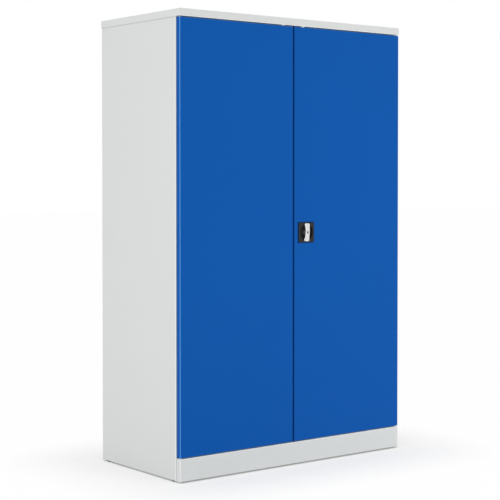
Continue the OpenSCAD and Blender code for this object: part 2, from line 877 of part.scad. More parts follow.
// Locking rod drawn in, from the lock's middle to the door's end, with its hook on a crank pin
module locking_rod(length) {
    y = [rod_y - hook_t / 2, rod_y + hook_t / 2];
    pin_at = crank_r / sqrt(2);
    slot_x = [pin_at - crank_pin_r - slack, crank_r + crank_pin_r + slack];
    slot_half = crank_pin_r + crank_play;
    difference() {
        union() {
            block([hook_in, y[0], -hook_low], [hook_out, y[1], hook_top]);
            block([-rod_r - hook_side, y[0], hook_top - hook_head], [hook_out, y[1], hook_top]);
            translate([0, rod_y, hook_top - weld_l])
                cylinder(r = rod_r, h = length - hook_top + weld_l - rod_tip);
            translate([0, rod_y, length - rod_tip]) cylinder(r1 = rod_r, r2 = rod_r / 2, h = rod_tip);
        }
        block([slot_x[0], y[0] - cut, -pin_at - slot_half],
              [slot_x[1], y[1] + cut, -pin_at + slot_half]);
    }
}

module upper_rod() {
    color(zinc) at_handle() locking_rod(door_z[1] - rod_end - handle_z);
}

module lower_rod() {
    color(zinc) at_handle() rotate([0, 180, 0]) locking_rod(handle_z - rod_end - door_z[0]);
}

// Saddles welded behind the skin that keep the rods in line
module rod_brackets() {
    inner = rod_r + 0.5;
    saddle = [2 * (inner + strip_t), rod_y + inner + strip_t - sheet, 24];
    wing = 10;                      // how far the saddle's feet reach out at either side
    color(zinc) placed()
        for (z = [(handle_z + door_z[1]) / 2, (handle_z + door_z[0]) / 2])
            translate([handle_x, sheet, z]) difference() {
                union() {
                    translate([0, saddle[1] / 2, 0]) cube(saddle, center = true);
                    translate([0, strip_t / 2, 0])
                        cube([saddle[0] + 2 * wing, strip_t, saddle[2]], center = true);
                }
                translate([0, saddle[1] / 2 - strip_t, 0])
                    cube([2 * inner, saddle[1], saddle[2] + 2 * cut], center = true);
            }
}

module rod_end_guides() {
    color(dark_plastic) placed() end_guides(handle_x);
}

side_panel_left();
side_panel_right();
back_panel();
top_cap();
plinth();
floor_panel();
top_front_rail();
rear_base_rail();
shelf_upright_front_left();
shelf_upright_front_right();
shelf_upright_rear_left();
shelf_upright_rear_right();
shelf_1();
shelf_2();
shelf_3();
shelf_4();
shelf_clips();
base_glides();
frame_screws();
back_rivets();
door_buffers();
door_pads();
upper_hinge_brackets();
lower_hinge_brackets();
upper_hinge_pins();
lower_hinge_pins();
hinge_washers();
door_left_panel();
door_left_stiffener();
door_left_hinge_bushes();
bolt_brackets();
bolt_end_guides();
upper_bolt();
lower_bolt();
door_right_panel();
door_right_stiffener();
door_right_hinge_bushes();
handle_pan();
lock_case();
handle_screws();
rod_brackets();
rod_end_guides();
handle_grip();
lock_cam();
spindle_clip();
lock_cylinder();
upper_rod();
lower_rod();
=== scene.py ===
# A tall steel tool cabinet: folded sheet body with cap and plinth, four shelves on perforated
# uprights, two blue doors and a turn handle that throws two locking rods.
# Meshes are made in millimetres with y counted back from the door faces, and each piece is moved
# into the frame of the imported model, in metres, when it is kept.
import json
import math

import bmesh
import bpy
from mathutils import Matrix, Vector

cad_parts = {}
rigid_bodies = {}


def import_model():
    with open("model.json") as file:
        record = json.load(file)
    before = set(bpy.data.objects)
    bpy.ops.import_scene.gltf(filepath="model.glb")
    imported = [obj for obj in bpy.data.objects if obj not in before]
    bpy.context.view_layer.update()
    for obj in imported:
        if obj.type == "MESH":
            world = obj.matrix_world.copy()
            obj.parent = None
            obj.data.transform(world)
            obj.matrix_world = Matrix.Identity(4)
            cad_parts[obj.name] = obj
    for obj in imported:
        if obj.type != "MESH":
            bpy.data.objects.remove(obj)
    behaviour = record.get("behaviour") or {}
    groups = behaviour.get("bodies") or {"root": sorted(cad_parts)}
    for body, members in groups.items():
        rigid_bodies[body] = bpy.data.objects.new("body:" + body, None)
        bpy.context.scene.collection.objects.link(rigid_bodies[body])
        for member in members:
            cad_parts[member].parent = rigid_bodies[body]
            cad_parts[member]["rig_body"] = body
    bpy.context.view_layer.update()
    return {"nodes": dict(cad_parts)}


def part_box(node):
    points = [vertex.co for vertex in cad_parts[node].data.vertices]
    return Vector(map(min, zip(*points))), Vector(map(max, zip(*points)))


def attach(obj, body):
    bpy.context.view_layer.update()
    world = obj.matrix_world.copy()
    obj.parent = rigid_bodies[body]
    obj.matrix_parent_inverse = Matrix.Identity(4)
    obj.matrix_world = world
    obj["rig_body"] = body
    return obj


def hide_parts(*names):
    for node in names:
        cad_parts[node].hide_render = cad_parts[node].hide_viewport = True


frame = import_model()
nodes = frame["nodes"]
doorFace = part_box("top_cap")[0].y
toFrame = Matrix.Translation((0, doorFace, 0)) @ Matrix.Diagonal((0.001, 0.001, 0.001, 1))
print("frame loaded:", len(nodes), "nodes")

# sizes that several pieces share, in millimetres
cabinet = {
    "height": 1950, "halfWidth": 618, "depth": 600, "glide": 5, "sideTop": 1949,
    "capBottom": 1918, "capOver": 1.5, "frontDepth": 28, "plinthTop": 100, "floorTop": 130,
    "doorLow": 103.5, "doorHigh": 1914, "split": -14, "hingeX": 610, "hingeY": 12,
    "rodX": 58, "boltX": -48, "rodY": 14, "handleZ": 1017.5,
}
metal = {"sheet": 1.0, "bend": 3.0, "strip": 1.5, "bendSteps": 6}


# node trees

class Wire:
    # A node socket that works in Python sums: each operator adds the Math node for it.
    def __init__(self, tree, socket=None):
        self.tree = tree
        self.socket = socket

    def add(self, kind, settings=None, inputs=None, out=0):
        node = self.tree.nodes.new(kind)
        for key, value in (settings or {}).items():
            if key == "stops":
                ramp = node.color_ramp
                for stop, (place, color) in zip(ramp.elements, value):
                    stop.position, stop.color = place, color
            else:
                setattr(node, key, value)
        for key, value in (inputs or {}).items():
            if isinstance(value, Wire):
                self.tree.links.new(value.socket, node.inputs[key])
            else:
                node.inputs[key].default_value = value
        return Wire(self.tree, node.outputs[out] if len(node.outputs) else None)

    def other(self, out):
        # another output of the same node
        return Wire(self.tree, self.socket.node.outputs[out])

    def sum(self, operation, one, two, clamp=False):
        return self.add("ShaderNodeMath", {"operation": operation, "use_clamp": clamp},
                        {0: one, 1: two})

    def __add__(self, value):
        return self.sum("ADD", self, value)

    def __radd__(self, value):
        return self.sum("ADD", value, self)

    def __sub__(self, value):
        return self.sum("SUBTRACT", self, value)

    def __rsub__(self, value):
        return self.sum("SUBTRACT", value, self)

    def __mul__(self, value):
        return self.sum("MULTIPLY", self, value)

    def __rmul__(self, value):
        return self.sum("MULTIPLY", value, self)

    def __truediv__(self, value):
        return self.sum("DIVIDE", self, value)

    def absolute(self):
        return self.sum("ABSOLUTE", self, 0.0)

    def clamped(self):
        return self.sum("ADD", self, 0.0, clamp=True)

    def blend(self, one, two):
        # colour one where this is 0 and colour two where it is 1
        return self.add("ShaderNodeMix", {"data_type": "RGBA"}, {0: self, 6: one, 7: two}, out=2)


def paint(red, green, blue):
    # colour as seen on a screen, 0 to 255, to the linear one that the nodes take
    def linear(value):
        value /= 255
        return value / 12.92 if value <= 0.04045 else ((value + 0.055) / 1.055) ** 2.4
    return (linear(red), linear(green), linear(blue), 1.0)


def startMaterial(name):
    material = bpy.data.materials.new(name)
    material.use_nodes = True
    material.node_tree.nodes.clear()
    wire = Wire(material.node_tree)
    return material, wire, wire.add("ShaderNodeTexCoord", out=3)  # Object coordinates


def finishMaterial(wire, inputs, strength, distance, height):
    # strength, distance and height are the bump's, the distance in metres
    bump = wire.add("ShaderNodeBump", None,
                    {"Strength": strength, "Distance": distance, "Height": height})
    shader = wire.add("ShaderNodeBsdfPrincipled", None, {**inputs, "Normal": bump})
    wire.add("ShaderNodeOutputMaterial", None, {"Surface": shader})


def noise(place, scale, detail=2.0, roughness=0.5):
    return place.add("ShaderNodeTexNoise", None,
                     {"Vector": place, "Scale": scale, "Detail": detail, "Roughness": roughness})


def stretched(place, scale):
    # the place with each axis scaled on its own
    return place.add("ShaderNodeMapping", None, {"Vector": place, "Scale": scale})


# finishes

# each finish has its colour, a random shade of it, a painted highlight colour for bends and a
# painted shade colour for gaps
powder = {
    "grey": {"color": paint(214, 216, 215), "shade": paint(209, 212, 210),
             "arris": paint(250, 251, 251), "crease": paint(70, 74, 80),
             "rough": 0.40, "specular": 0.35, "peel": 0.05},
    "blue": {"color": (0.0030, 0.0910, 0.3880, 1), "shade": (0.0026, 0.0850, 0.3620, 1),
             "arris": (0.1400, 0.4300, 0.9200, 1), "crease": (0.0005, 0.0080, 0.0400, 1),
             "rough": 0.40, "specular": 0.06, "peel": 0.05},
}
# side panels: a dark blue painted shade for their front bends in the gap beside the doors, and a
# darker grey for a painted shadow under the cap
powder["side"] = {**powder["grey"], "crease": paint(16, 44, 86), "dust": paint(90, 94, 98)}
# soft lines on the side panels, in metres: a painted shadow under the cap and a painted highlight
# along the front edge
sideLines = (("Z", 1.9162, 0.0030, "dust", 0.32),
             ("Y", doorFace + 0.0312, 0.0040, "arris", 0.85))
# painted shadow: a dark line on the door round the handle's pan, a little to the left of it
panRim = {"middle": ((cabinet["rodX"] - 2.5) / 1000, cabinet["handleZ"] / 1000),
          "half": (0.0445, 0.0440), "reach": 0.0040, "strength": 0.85}
# the last two set how strongly the painted highlight and the painted shade go onto the bends
coat = {"cloud": 2.2, "peel": 520, "grain": 2600, "speck": 60, "edgeHighlight": 0.75, "gapShade": 0.85}


def powderCoat(name, look, lines=(), rim=None):
    material, wire, place = startMaterial(name)
    cloud = noise(place, coat["cloud"], 3.0)          # the coat is a touch thicker here and there
    peel = noise(place, coat["peel"], 2.0, 0.45)      # orange peel, about 2 mm across
    grain = noise(place, coat["grain"], 1.0)
    speck = noise(place, coat["speck"], 4.0, 0.7)
    color = (cloud * 0.8 + speck * 0.2).clamped().blend(look["shade"], look["color"])
    # painted highlight on the bends, mostly the outer ones and broken up a little by the specks,
    # and painted shade in the bends that lie in gaps or turn away
    bend = wire.add("ShaderNodeAttribute", {"attribute_name": "bend"}, out=2)
    edgeHighlight = coat["edgeHighlight"] + speck * (1 - coat["edgeHighlight"])
    color = (bend * edgeHighlight).clamped().blend(color, look["arris"])
    color = (bend * -coat["gapShade"]).clamped().blend(color, look["crease"])
    axes = wire.add("ShaderNodeSeparateXYZ", None, {0: place})
    # bands of painted shadow or painted highlight along the given lines
    for axis, middle, half, tone, strength in lines:
        apart = (axes.other(axis) - middle).absolute()
        color = ((1 - apart / half).clamped() * strength).blend(color, look[tone])
    # painted shadow round the handle's pan
    if rim:
        x = (axes - rim["middle"][0]).absolute() - rim["half"][0]
        z = (axes.other(2) - rim["middle"][1]).absolute() - rim["half"][1]
        line = (1 - wire.sum("MAXIMUM", x, z) / rim["reach"]).clamped()
        color = (line * rim["strength"]).blend(color, look["crease"])
    finishMaterial(wire, {
        "Base Color": color,
        "Roughness": (look["rough"] - 0.05 + cloud * 0.06 + peel * 0.05).clamped(),
        "Specular IOR Level": look["specular"],
    }, look["peel"], 0.0006, peel + grain * 0.25)
    return material


zincLook = {"bright": (0.60, 0.62, 0.65, 1), "warm": (0.58, 0.57, 0.51, 1), "rough": 0.30}


def zincPlate(name):
    material, wire, place = startMaterial(name)
    tint = noise(place, 35, 3.0, 0.6)
    streak = noise(stretched(place, (900, 900, 60)), 1.0, 2.0)
    pit = noise(place, 1900, 1.0)
    finishMaterial(wire, {
        "Base Color": tint.blend(zincLook["bright"], zincLook["warm"]),
        "Metallic": 1.0,
        "Roughness": (zincLook["rough"] + tint * 0.16 + streak * 0.08).clamped(),
    }, 0.12, 0.0003, streak + pit * 0.6)
    return material


gripLook = {"face": (0.80, 0.80, 0.79, 1), "worn": (0.70, 0.70, 0.69, 1), "rough": 0.22,
            "metallic": 0.85, "bump": 0.06}


def satinNickel(name):
    material, wire, place = startMaterial(name)
    brushed = noise(stretched(place, (2600, 2600, 90)), 1.0, 3.0)
    touch = noise(place, 70, 3.0)
    finishMaterial(wire, {
        "Base Color": touch.blend(gripLook["face"], gripLook["worn"]),
        "Metallic": gripLook["metallic"],
        "Roughness": (gripLook["rough"] + brushed * 0.10 + touch * 0.06).clamped(),
    }, gripLook["bump"], 0.0002, brushed)
    return material


def moulded(name, color, high, rough, grainScale, grainDepth):
    material, wire, place = startMaterial(name)
    grain = noise(place, grainScale, 3.0, 0.6)
    flow = noise(stretched(place, (30, 30, 55)), 1.0, 2.0)
    finishMaterial(wire, {
        "Base Color": (grain * 0.5 + flow * 0.5).clamped().blend(color, high),
        "Roughness": (rough + grain * 0.12 + flow * 0.05).clamped(),
        "Specular IOR Level": 0.30,
    }, grainDepth, 0.0002, grain)
    return material


finishes = {
    "grey_paint": powderCoat("lightGreyPowderCoat", powder["grey"]),
    "grey_side": powderCoat("lightGreySidePowderCoat", powder["side"], sideLines),
    "blue_paint": powderCoat("bluePowderCoat", powder["blue"], rim=panRim),
    "zinc_plate": zincPlate("brightZincPlate"),
    "bright_metal": satinNickel("satinNickelPlate"),
    "black_plastic": moulded("blackMouldedPlastic", (0.006, 0.0065, 0.0070, 1),
                             (0.014, 0.015, 0.016, 1), 0.30, 1500, 0.25),
    "white_nylon": moulded("whiteNylon", (0.80, 0.80, 0.77, 1), (0.87, 0.87, 0.85, 1),
                           0.40, 900, 0.10),
    "black_rubber": moulded("blackRubber", (0.012, 0.012, 0.012, 1), (0.022, 0.021, 0.020, 1),
                            0.72, 700, 0.35),
}
print("finishes made:", len(finishes))


# mesh helpers

def quarter(steps=metal["bendSteps"]):
    return [math.pi / 2 * k / steps for k in range(steps + 1)]


def placeBy(origin, u, v, w):
    # puts a shape's own u, v and w axes in the cabinet
    matrix = Matrix.Identity(4)
    for column, vector in enumerate((u, v, w, origin)):
        for row in range(3):
            matrix[row][column] = vector[row]
    return matrix


acrossX, acrossY, upZ = Vector((1, 0, 0)), Vector((0, 1, 0)), Vector((0, 0, 1))


def facing(x=0, y=0, z=0):
    # u to the right, v up, w back from the front
    return placeBy((x, y, z), acrossX, upZ, acrossY)


def upright(x=0, y=0, z=0, way=1):
    # u to the right, v back, w up, or down where way is -1
    return placeBy((x, y, z), acrossX, acrossY, way * upZ)


def lengthwise(x=0, y=0, z=0, way=1):
    # u back, v up or down, w to the right
    return placeBy((x, y, z), acrossY, way * upZ, acrossX)


def skin(bm, rings, closed=False, caps=False):
    # quads between loops of the same length; a loop of one point is a pole
    loops = [[bm.verts.new(p) for p in ring] for ring in rings]
    pairs = list(zip(loops, loops[1:] + (loops[:1] if closed else [])))
    for one, two in pairs:
        count = max(len(one), len(two))
        for k in range(count):
            m = (k + 1) % count
            corners = [one[k % len(one)], one[m % len(one)], two[m % len(two)], two[k % len(two)]]
            corners = [v for i, v in enumerate(corners) if v not in corners[:i]]
            bm.faces.new(corners)
    if caps:
        for loop in (loops[0], loops[-1]):
            if len(loop) > 2:
                bm.faces.new(loop)
    return loops


def foldedTray(bm, place, size, depth, lips=None, outer=metal["bend"]):
    # Sheet folded back on four sides; lips names the sides that turn in again, with their widths.
    # The sides are vLow, uHigh, vHigh and uLow.
    sheet = metal["sheet"]
    inner = outer - sheet
    lip = [(lips or {}).get(side, 0) for side in ("vLow", "uHigh", "vHigh", "uLow")]
    rings = []

    def ring(offsets, w):
        low, right, high, left = offsets
        corners = ((left, low), (size[0] - right, low), (size[0] - right, size[1] - high),
                   (left, size[1] - high))
        points = [place @ Vector((u, v, w)) for u, v in corners]
        if not rings or any((p - q).length > 1e-6 for p, q in zip(points, rings[-1])):
            rings.append(points)

    for a in quarter():
        ring([outer - outer * math.sin(a)] * 4, outer - outer * math.cos(a))
    for a in quarter():
        ring([outer - outer * math.cos(a) if x else 0 for x in lip],
             depth - outer + outer * math.sin(a))
    ring([x or sheet for x in lip], depth)
    ring([x or sheet for x in lip], depth - sheet)
    flat = len(rings) - 1
    for a in reversed(quarter()):
        ring([outer - inner * math.cos(a) if x else sheet for x in lip],
             depth - outer + inner * math.sin(a))
    for a in reversed(quarter()):
        ring([outer - inner * math.sin(a)] * 4, outer - inner * math.cos(a))
    loops = skin(bm, rings, caps=True)
    if any(lip) and not all(lip):
        # on a side with no lip the step behind the lips has no height, so it joins the wall
        seams = [bm.edges.get((loops[flat + 1][k], loops[flat + 1][(k + 1) % 4]))
                 for k in range(4) if not lip[k]]
        bmesh.ops.dissolve_edges(bm, edges=seams)


def bentLine(points, radius, steps=metal["bendSteps"]):
    # (point, normal) pairs along a line whose corners are rounded
    points = [Vector(p) for p in points]
    found = []
    for i, point in enumerate(points):
        before = (point - points[i - 1]).normalized() if i else None
        after = (points[i + 1] - point).normalized() if i + 1 < len(points) else None
        if before is None or after is None:
            way = before or after
            found.append((point, Vector((-way.y, way.x))))
            continue
        turn = math.atan2(before.x * after.y - before.y * after.x, before.dot(after))
        side = math.copysign(1, turn)
        normal = Vector((-before.y, before.x))
        centre = point - before * radius * math.tan(abs(turn) / 2) + normal * radius * side
        for k in range(steps + 1):
            turned = normal.copy()
            turned.rotate(Matrix.Rotation(turn * k / steps, 2))
            found.append((centre - turned * radius * side, turned))
    return found


def foldedSection(bm, place, points, span, thickness=metal["strip"], outer=metal["bend"]):
    # a strip bent along points, in u and v, and run along w over the span
    line = bentLine(points, outer - thickness / 2)
    outline = [p + n * thickness / 2 for p, n in line]
    outline += [p - n * thickness / 2 for p, n in reversed(line)]
    skin(bm, [[place @ Vector((p.x, p.y, w)) for p in outline] for w in span], caps=True)


def channel(bm, place, half, wide, low, top, span, outer=metal["bend"]):
    # hat section: two flanges at low and a crown at top, all on the strip's middle line
    foldedSection(bm, place, [(-wide, low), (-half, low), (-half, top), (half, top), (half, low),
                              (wide, low)], span, outer=outer)


def lathe(bm, place, profile, steps=48):
    # profile of (radius, height) turned round w; radius 0 closes it
    rings = []
    for radius, height in profile:
        count = steps if radius else 1
        rings.append([place @ Vector((radius * math.cos(2 * math.pi * k / steps),
                                      radius * math.sin(2 * math.pi * k / steps), height))
                      for k in range(count)])
    skin(bm, rings, closed=bool(profile[0][0]))


def box(bm, low, high):
    corners = ((low[0], low[1]), (high[0], low[1]), (high[0], high[1]), (low[0], high[1]))
    skin(bm, [[Vector((x, y, z)) for x, y in corners] for z in (low[2], high[2])], caps=True)


def drill(bm, place, radius, low, high):
    lathe(bm, place, [(0, low), (radius, low), (radius, high), (0, high)])


def linked(name, data):
    obj = bpy.data.objects.new(name, data)
    bpy.context.scene.collection.objects.link(obj)
    return obj


def meshFrom(name, bm):
    mesh = bpy.data.meshes.new(name)
    bm.to_mesh(mesh)
    bm.free()
    return mesh


def takeIn(bm, mesh):
    bm.from_mesh(mesh)
    bpy.data.meshes.remove(mesh)


def roundEdges(obj, width, segments=3, angle=50):
    edge = obj.modifiers.new("edges", "BEVEL")
    edge.width, edge.segments, edge.limit_method = width, segments, "ANGLE"
    edge.angle_limit = math.radians(angle)


def cutAway(obj, cutter):
    hole = obj.modifiers.new("holes", "BOOLEAN")
    hole.operation, hole.solver, hole.object = "DIFFERENCE", "EXACT", cutter


def evaluated(obj):
    graph = bpy.context.evaluated_depsgraph_get()
    graph.update()
    return bpy.data.meshes.new_from_object(obj.evaluated_get(graph))


def drop(obj):
    mesh = obj.data
    bpy.data.objects.remove(obj)
    if mesh.users == 0:
        bpy.data.meshes.remove(mesh)


def rawObject(name, bm):
    bmesh.ops.remove_doubles(bm, verts=bm.verts, dist=0.0005)
    bmesh.ops.recalc_face_normals(bm, faces=bm.faces)
    return linked(name, meshFrom(name, bm))


# bounds, in metres, of the bends that get a painted highlight or painted shade, and two weaker
# tones
bendLightBounds = {"outside": 0.6, "behind": 0.02, "gap": 0.006, "foot": 0.012, "capLow": 1.9,
        "plinthHigh": 0.101, "rear": 0.4, "inner": 0.3}


def bendTone(face):
    # 0 on a flat face, up to 1 for a painted highlight on a bend and down to -1 for painted shade
    # on one in a gap
    normal, place = face.normal, face.center
    tone = min(1, 3 - 3 * max(abs(n) for n in normal) ** 2)
    outside = abs(place.x) > bendLightBounds["outside"]
    # the front bends of the side panels beside the doors and the bends at the doors' middle gap
    # get the full painted shade
    besideDoor = outside and place.y > doorFace + bendLightBounds["behind"] and normal.y < -0.3
    if besideDoor or abs(place.x - cabinet["split"] / 1000) < bendLightBounds["gap"]:
        return -tone
    # bends that face the back or lie near the floor get a weaker painted shade
    if normal.y > 0.05 or place.z < bendLightBounds["foot"]:
        return -bendLightBounds["rear"] * tone
    # outer edges, the cap's lower bend and the plinth's top bend get the full painted highlight,
    # other bends a weak one
    edgeHighlight = (outside or (place.z > bendLightBounds["capLow"] and normal.z < 0)
              or (place.z < bendLightBounds["plinthHigh"] and normal.z > 0))
    return tone if edgeHighlight else tone * bendLightBounds["inner"]


def keepMesh(name, mesh, slot, replaced, sharp=38, finish=None):
    # shades a finished mesh, moves it into the frame and lets it stand for its CAD nodes
    mesh.polygons.foreach_set("use_smooth", [True] * len(mesh.polygons))
    mesh.set_sharp_from_angle(angle=math.radians(sharp))
    obj = linked(name, mesh)
    weigh = obj.modifiers.new("evenFaces", "WEIGHTED_NORMAL")
    weigh.keep_sharp = True
    weigh.weight = 60
    final = evaluated(obj)
    obj.modifiers.clear()
    obj.data = final
    bpy.data.meshes.remove(mesh)
    final.name = name
    final.transform(toFrame)
    # the bend attribute carries each face's painted highlight or painted shade, from bendTone
    bend = final.attributes.new("bend", "FLOAT", "FACE")
    bend.data.foreach_set("value", [bendTone(face) for face in final.polygons])
    final.materials.clear()
    final.materials.append(finishes[finish or slot])
    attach(obj, nodes[replaced[0]]["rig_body"])
    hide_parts(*replaced)
    return obj


def keep(name, bm, slot, replaced, cuts=None, bevel=0, sharp=38, finish=None):
    obj = rawObject(name + "Raw", bm)
    if bevel:
        roundEdges(obj, bevel)
    cutter = rawObject(name + "Cuts", cuts) if cuts else None
    if cutter:
        cutAway(obj, cutter)
    mesh = evaluated(obj)
    drop(obj)
    if cutter:
        drop(cutter)
    return keepMesh(name, mesh, slot, replaced, sharp, finish)


# Geometry Nodes trees for what repeats

def startTree(name, sockets):
    # sockets holds (label, kind, value); gives back the inputs by their labels
    tree = bpy.data.node_groups.new(name, "GeometryNodeTree")
    tree.interface.new_socket(name="Result", in_out="OUTPUT", socket_type="NodeSocketGeometry")
    for label, kind, value in sockets:
        socket = tree.interface.new_socket(name=label, in_out="INPUT",
                                           socket_type="NodeSocket" + kind)
        if value is not None:
            socket.default_value = value
    wire = Wire(tree)
    given = wire.add("NodeGroupInput")
    return tree, wire, {label: given.other(label) for label, kind, value in sockets}


def endTree(tree, geometry, finish):
    real = geometry.add("GeometryNodeRealizeInstances", None, {0: geometry})
    painted = real.add("GeometryNodeSetMaterial", None, {"Geometry": real, "Material": finish})
    painted.add("NodeGroupOutput", None, {0: painted})


def runTree(tree, values, more=None):
    # gives the mesh that the tree makes with these values
    holder = linked(tree.name, bpy.data.meshes.new(tree.name))
    modifier = holder.modifiers.new(tree.name, "NODES")
    modifier.node_group = tree
    identifiers = {item.name: item.identifier for item in tree.interface.items_tree
                   if item.in_out == "INPUT"}
    for label, value in values.items():
        modifier[identifiers[label]] = value
    if more:
        more(holder)
    mesh = evaluated(holder)
    drop(holder)
    return mesh


def makeFastenerGrid():
    # one fastener on every point of a grid of rows and columns
    tree, wire, inputs = startTree("fastenerGrid", [
        ("Fastener", "Object", None), ("Columns", "Int", 2), ("Rows", "Int", 2),
        ("Width", "Float", 100.0), ("Height", "Float", 100.0), ("Middle", "Vector", None),
        ("Tilt", "Vector", None), ("Turn", "Float", 0.0), ("Seed", "Int", 1),
        ("Finish", "Material", None)])
    grid = wire.add("GeometryNodeMeshGrid", None, {
        "Size X": inputs["Width"], "Size Y": inputs["Height"],
        "Vertices X": inputs["Columns"], "Vertices Y": inputs["Rows"]})
    points = wire.add("GeometryNodeTransform", None, {
        "Geometry": grid, "Translation": inputs["Middle"], "Rotation": inputs["Tilt"]})
    model = wire.add("GeometryNodeObjectInfo", None, {"Object": inputs["Fastener"]})
    chance = wire.add("FunctionNodeRandomValue", {"data_type": "FLOAT"},
                      {2: 0.0, 3: inputs["Turn"], "Seed": inputs["Seed"]}, out=1)
    euler = wire.add("ShaderNodeCombineXYZ", None, {"Y": chance})
    spun = wire.add("FunctionNodeEulerToRotation", None, {0: euler})
    placed = wire.add("GeometryNodeInstanceOnPoints", None, {
        "Points": points, "Instance": model.other("Geometry"), "Rotation": spun})
    endTree(tree, placed, inputs["Finish"])
    return tree


fastenerGrid = makeFastenerGrid()
upTilt = (math.pi / 2, 0.0, 0.0)                      # turns the grid upright, facing the front


def fasteners(bm, slot, columns, rows, width, height, middle, tilt=upTilt, turn=0.0, seed=1):
    # mesh of one fastener set on a grid, each turned by chance up to turn
    model = rawObject("fastenerModel", bm)
    mesh = runTree(fastenerGrid, {
        "Fastener": model, "Columns": columns, "Rows": rows, "Width": float(width),
        "Height": float(height), "Middle": middle, "Tilt": tilt, "Turn": float(turn),
        "Seed": seed, "Finish": finishes[slot]})
    drop(model)
    return mesh


def makePerforatedStrip():
    # slotted pieces in a row, with a blank piece stretched to each end, joined into one strip
    tree, wire, inputs = startTree("perforatedStrip", [
        ("Slotted", "Object", None), ("Blank", "Object", None), ("Slots", "Int", 60),
        ("Pitch", "Float", 25.0), ("First slot", "Float", 150.0), ("Foot", "Float", 130.0),
        ("Head", "Float", 1880.0), ("Finish", "Material", None)])

    def vector(z, across=0.0):
        return wire.add("ShaderNodeCombineXYZ", None, {"X": across, "Y": across, "Z": z})

    row = wire.add("GeometryNodeMeshLine", None, {
        "Count": inputs["Slots"], "Start Location": vector(inputs["First slot"]),
        "Offset": vector(inputs["Pitch"])})
    slotted = wire.add("GeometryNodeObjectInfo", None, {"Object": inputs["Slotted"]})
    blank = wire.add("GeometryNodeObjectInfo", None, {"Object": inputs["Blank"]})
    pieces = wire.add("GeometryNodeInstanceOnPoints", None, {
        "Points": row, "Instance": slotted.other("Geometry")})
    lowEdge = inputs["First slot"] - inputs["Pitch"] * 0.5
    highEdge = lowEdge + inputs["Slots"] * inputs["Pitch"]
    ends = []
    for start, length in ((inputs["Foot"], lowEdge - inputs["Foot"]),
                          (highEdge, inputs["Head"] - highEdge)):
        ends.append(wire.add("GeometryNodeTransform", None, {
            "Geometry": blank.other("Geometry"),
            "Translation": vector(start), "Scale": vector(length, 1.0)}))
    joined = wire.add("GeometryNodeJoinGeometry")
    for part in (pieces, *ends):
        tree.links.new(part.socket, joined.socket.node.inputs[0])
    endTree(tree, joined, inputs["Finish"])
    return tree


perforatedStrip = makePerforatedStrip()
print("geometry trees made")

# body, sheet by sheet

sidePanel = {"returns": 30, "postLip": 15, "depth": 572, "bend": 1.6}

for name, side in (("left", -1), ("right", 1)):
    bm = bmesh.new()
    start = (side * cabinet["halfWidth"], cabinet["frontDepth"], cabinet["glide"])
    foldedTray(bm, placeBy(start, acrossY, upZ, -side * acrossX),
               (sidePanel["depth"], cabinet["sideTop"] - cabinet["glide"]),
               sidePanel["returns"], {"uLow": sidePanel["postLip"]}, sidePanel["bend"])
    keep(name + "SidePanel", bm, "grey_paint", ["side_panel_" + name], finish="grey_side")

backPanel = {"halfWidth": 615, "low": 6, "high": 1948, "front": 598, "hole": 4.5, "holeX": 480,
             "holeZ": (300, 1700)}
bm, cuts = bmesh.new(), bmesh.new()
box(bm, (-backPanel["halfWidth"], backPanel["front"], backPanel["low"]),
    (backPanel["halfWidth"], backPanel["front"] + metal["sheet"], backPanel["high"]))
for x in (-backPanel["holeX"], backPanel["holeX"]):
    for z in backPanel["holeZ"]:
        drill(cuts, facing(x, backPanel["front"], z), backPanel["hole"], -2, 3)
keep("backPanel", bm, "grey_paint", ["back_panel"], cuts)

rodHole = {"radius": 5.2, "reach": 2.5}


def rodHoles(z):
    cuts = bmesh.new()
    for x in (cabinet["rodX"], cabinet["boltX"]):
        drill(cuts, upright(x, cabinet["rodY"]), rodHole["radius"], z - rodHole["reach"],
              z + rodHole["reach"])
    return cuts


cap = {"skirt": 32, "channel": 20, "flange": 15, "flangeBend": 2.5}
capHalf = cabinet["halfWidth"] + cabinet["capOver"]
bm = bmesh.new()
foldedTray(bm, upright(-capHalf, 0, cabinet["height"], -1),
           (2 * capHalf, cabinet["depth"] + cabinet["capOver"]), cap["skirt"],
           {"vLow": cap["channel"]})
middle = cabinet["capBottom"] + metal["sheet"] / 2
flangeY = cabinet["frontDepth"] - metal["sheet"] / 2
foldedSection(bm, lengthwise(),
              [(cap["channel"], middle), (flangeY, middle),
               (flangeY, cabinet["capBottom"] + cap["flange"])],
              (-capHalf + metal["sheet"], capHalf - metal["sheet"]), metal["sheet"],
              cap["flangeBend"])
keep("cap", bm, "grey_paint", ["top_cap"], rodHoles(cabinet["capBottom"] + 0.5))

plinth = {"lip": 15}
bm = bmesh.new()
foldedTray(bm, facing(-cabinet["halfWidth"], 0, cabinet["glide"]),
           (2 * cabinet["halfWidth"], cabinet["plinthTop"] - cabinet["glide"]),
           cabinet["frontDepth"], {side: plinth["lip"] for side in ("vHigh", "uLow", "uHigh")})
keep("plinth", bm, "grey_paint", ["plinth"], rodHoles(cabinet["plinthTop"] - 0.5))

floorPanel = {"halfWidth": 617, "depth": 569, "fold": 48, "notch": (587.5, 43.5)}
bm = bmesh.new()
foldedTray(bm, upright(-floorPanel["halfWidth"], cabinet["frontDepth"], cabinet["floorTop"], -1),
           (2 * floorPanel["halfWidth"], floorPanel["depth"]), floorPanel["fold"])
cuts = bmesh.new()
for side in (-1, 1):
    edges = sorted((side * floorPanel["notch"][0], side * 625))
    box(cuts, (edges[0], 20, 70), (edges[1], floorPanel["notch"][1], 140))
keep("floorPanel", bm, "grey_paint", ["floor_panel"], cuts)

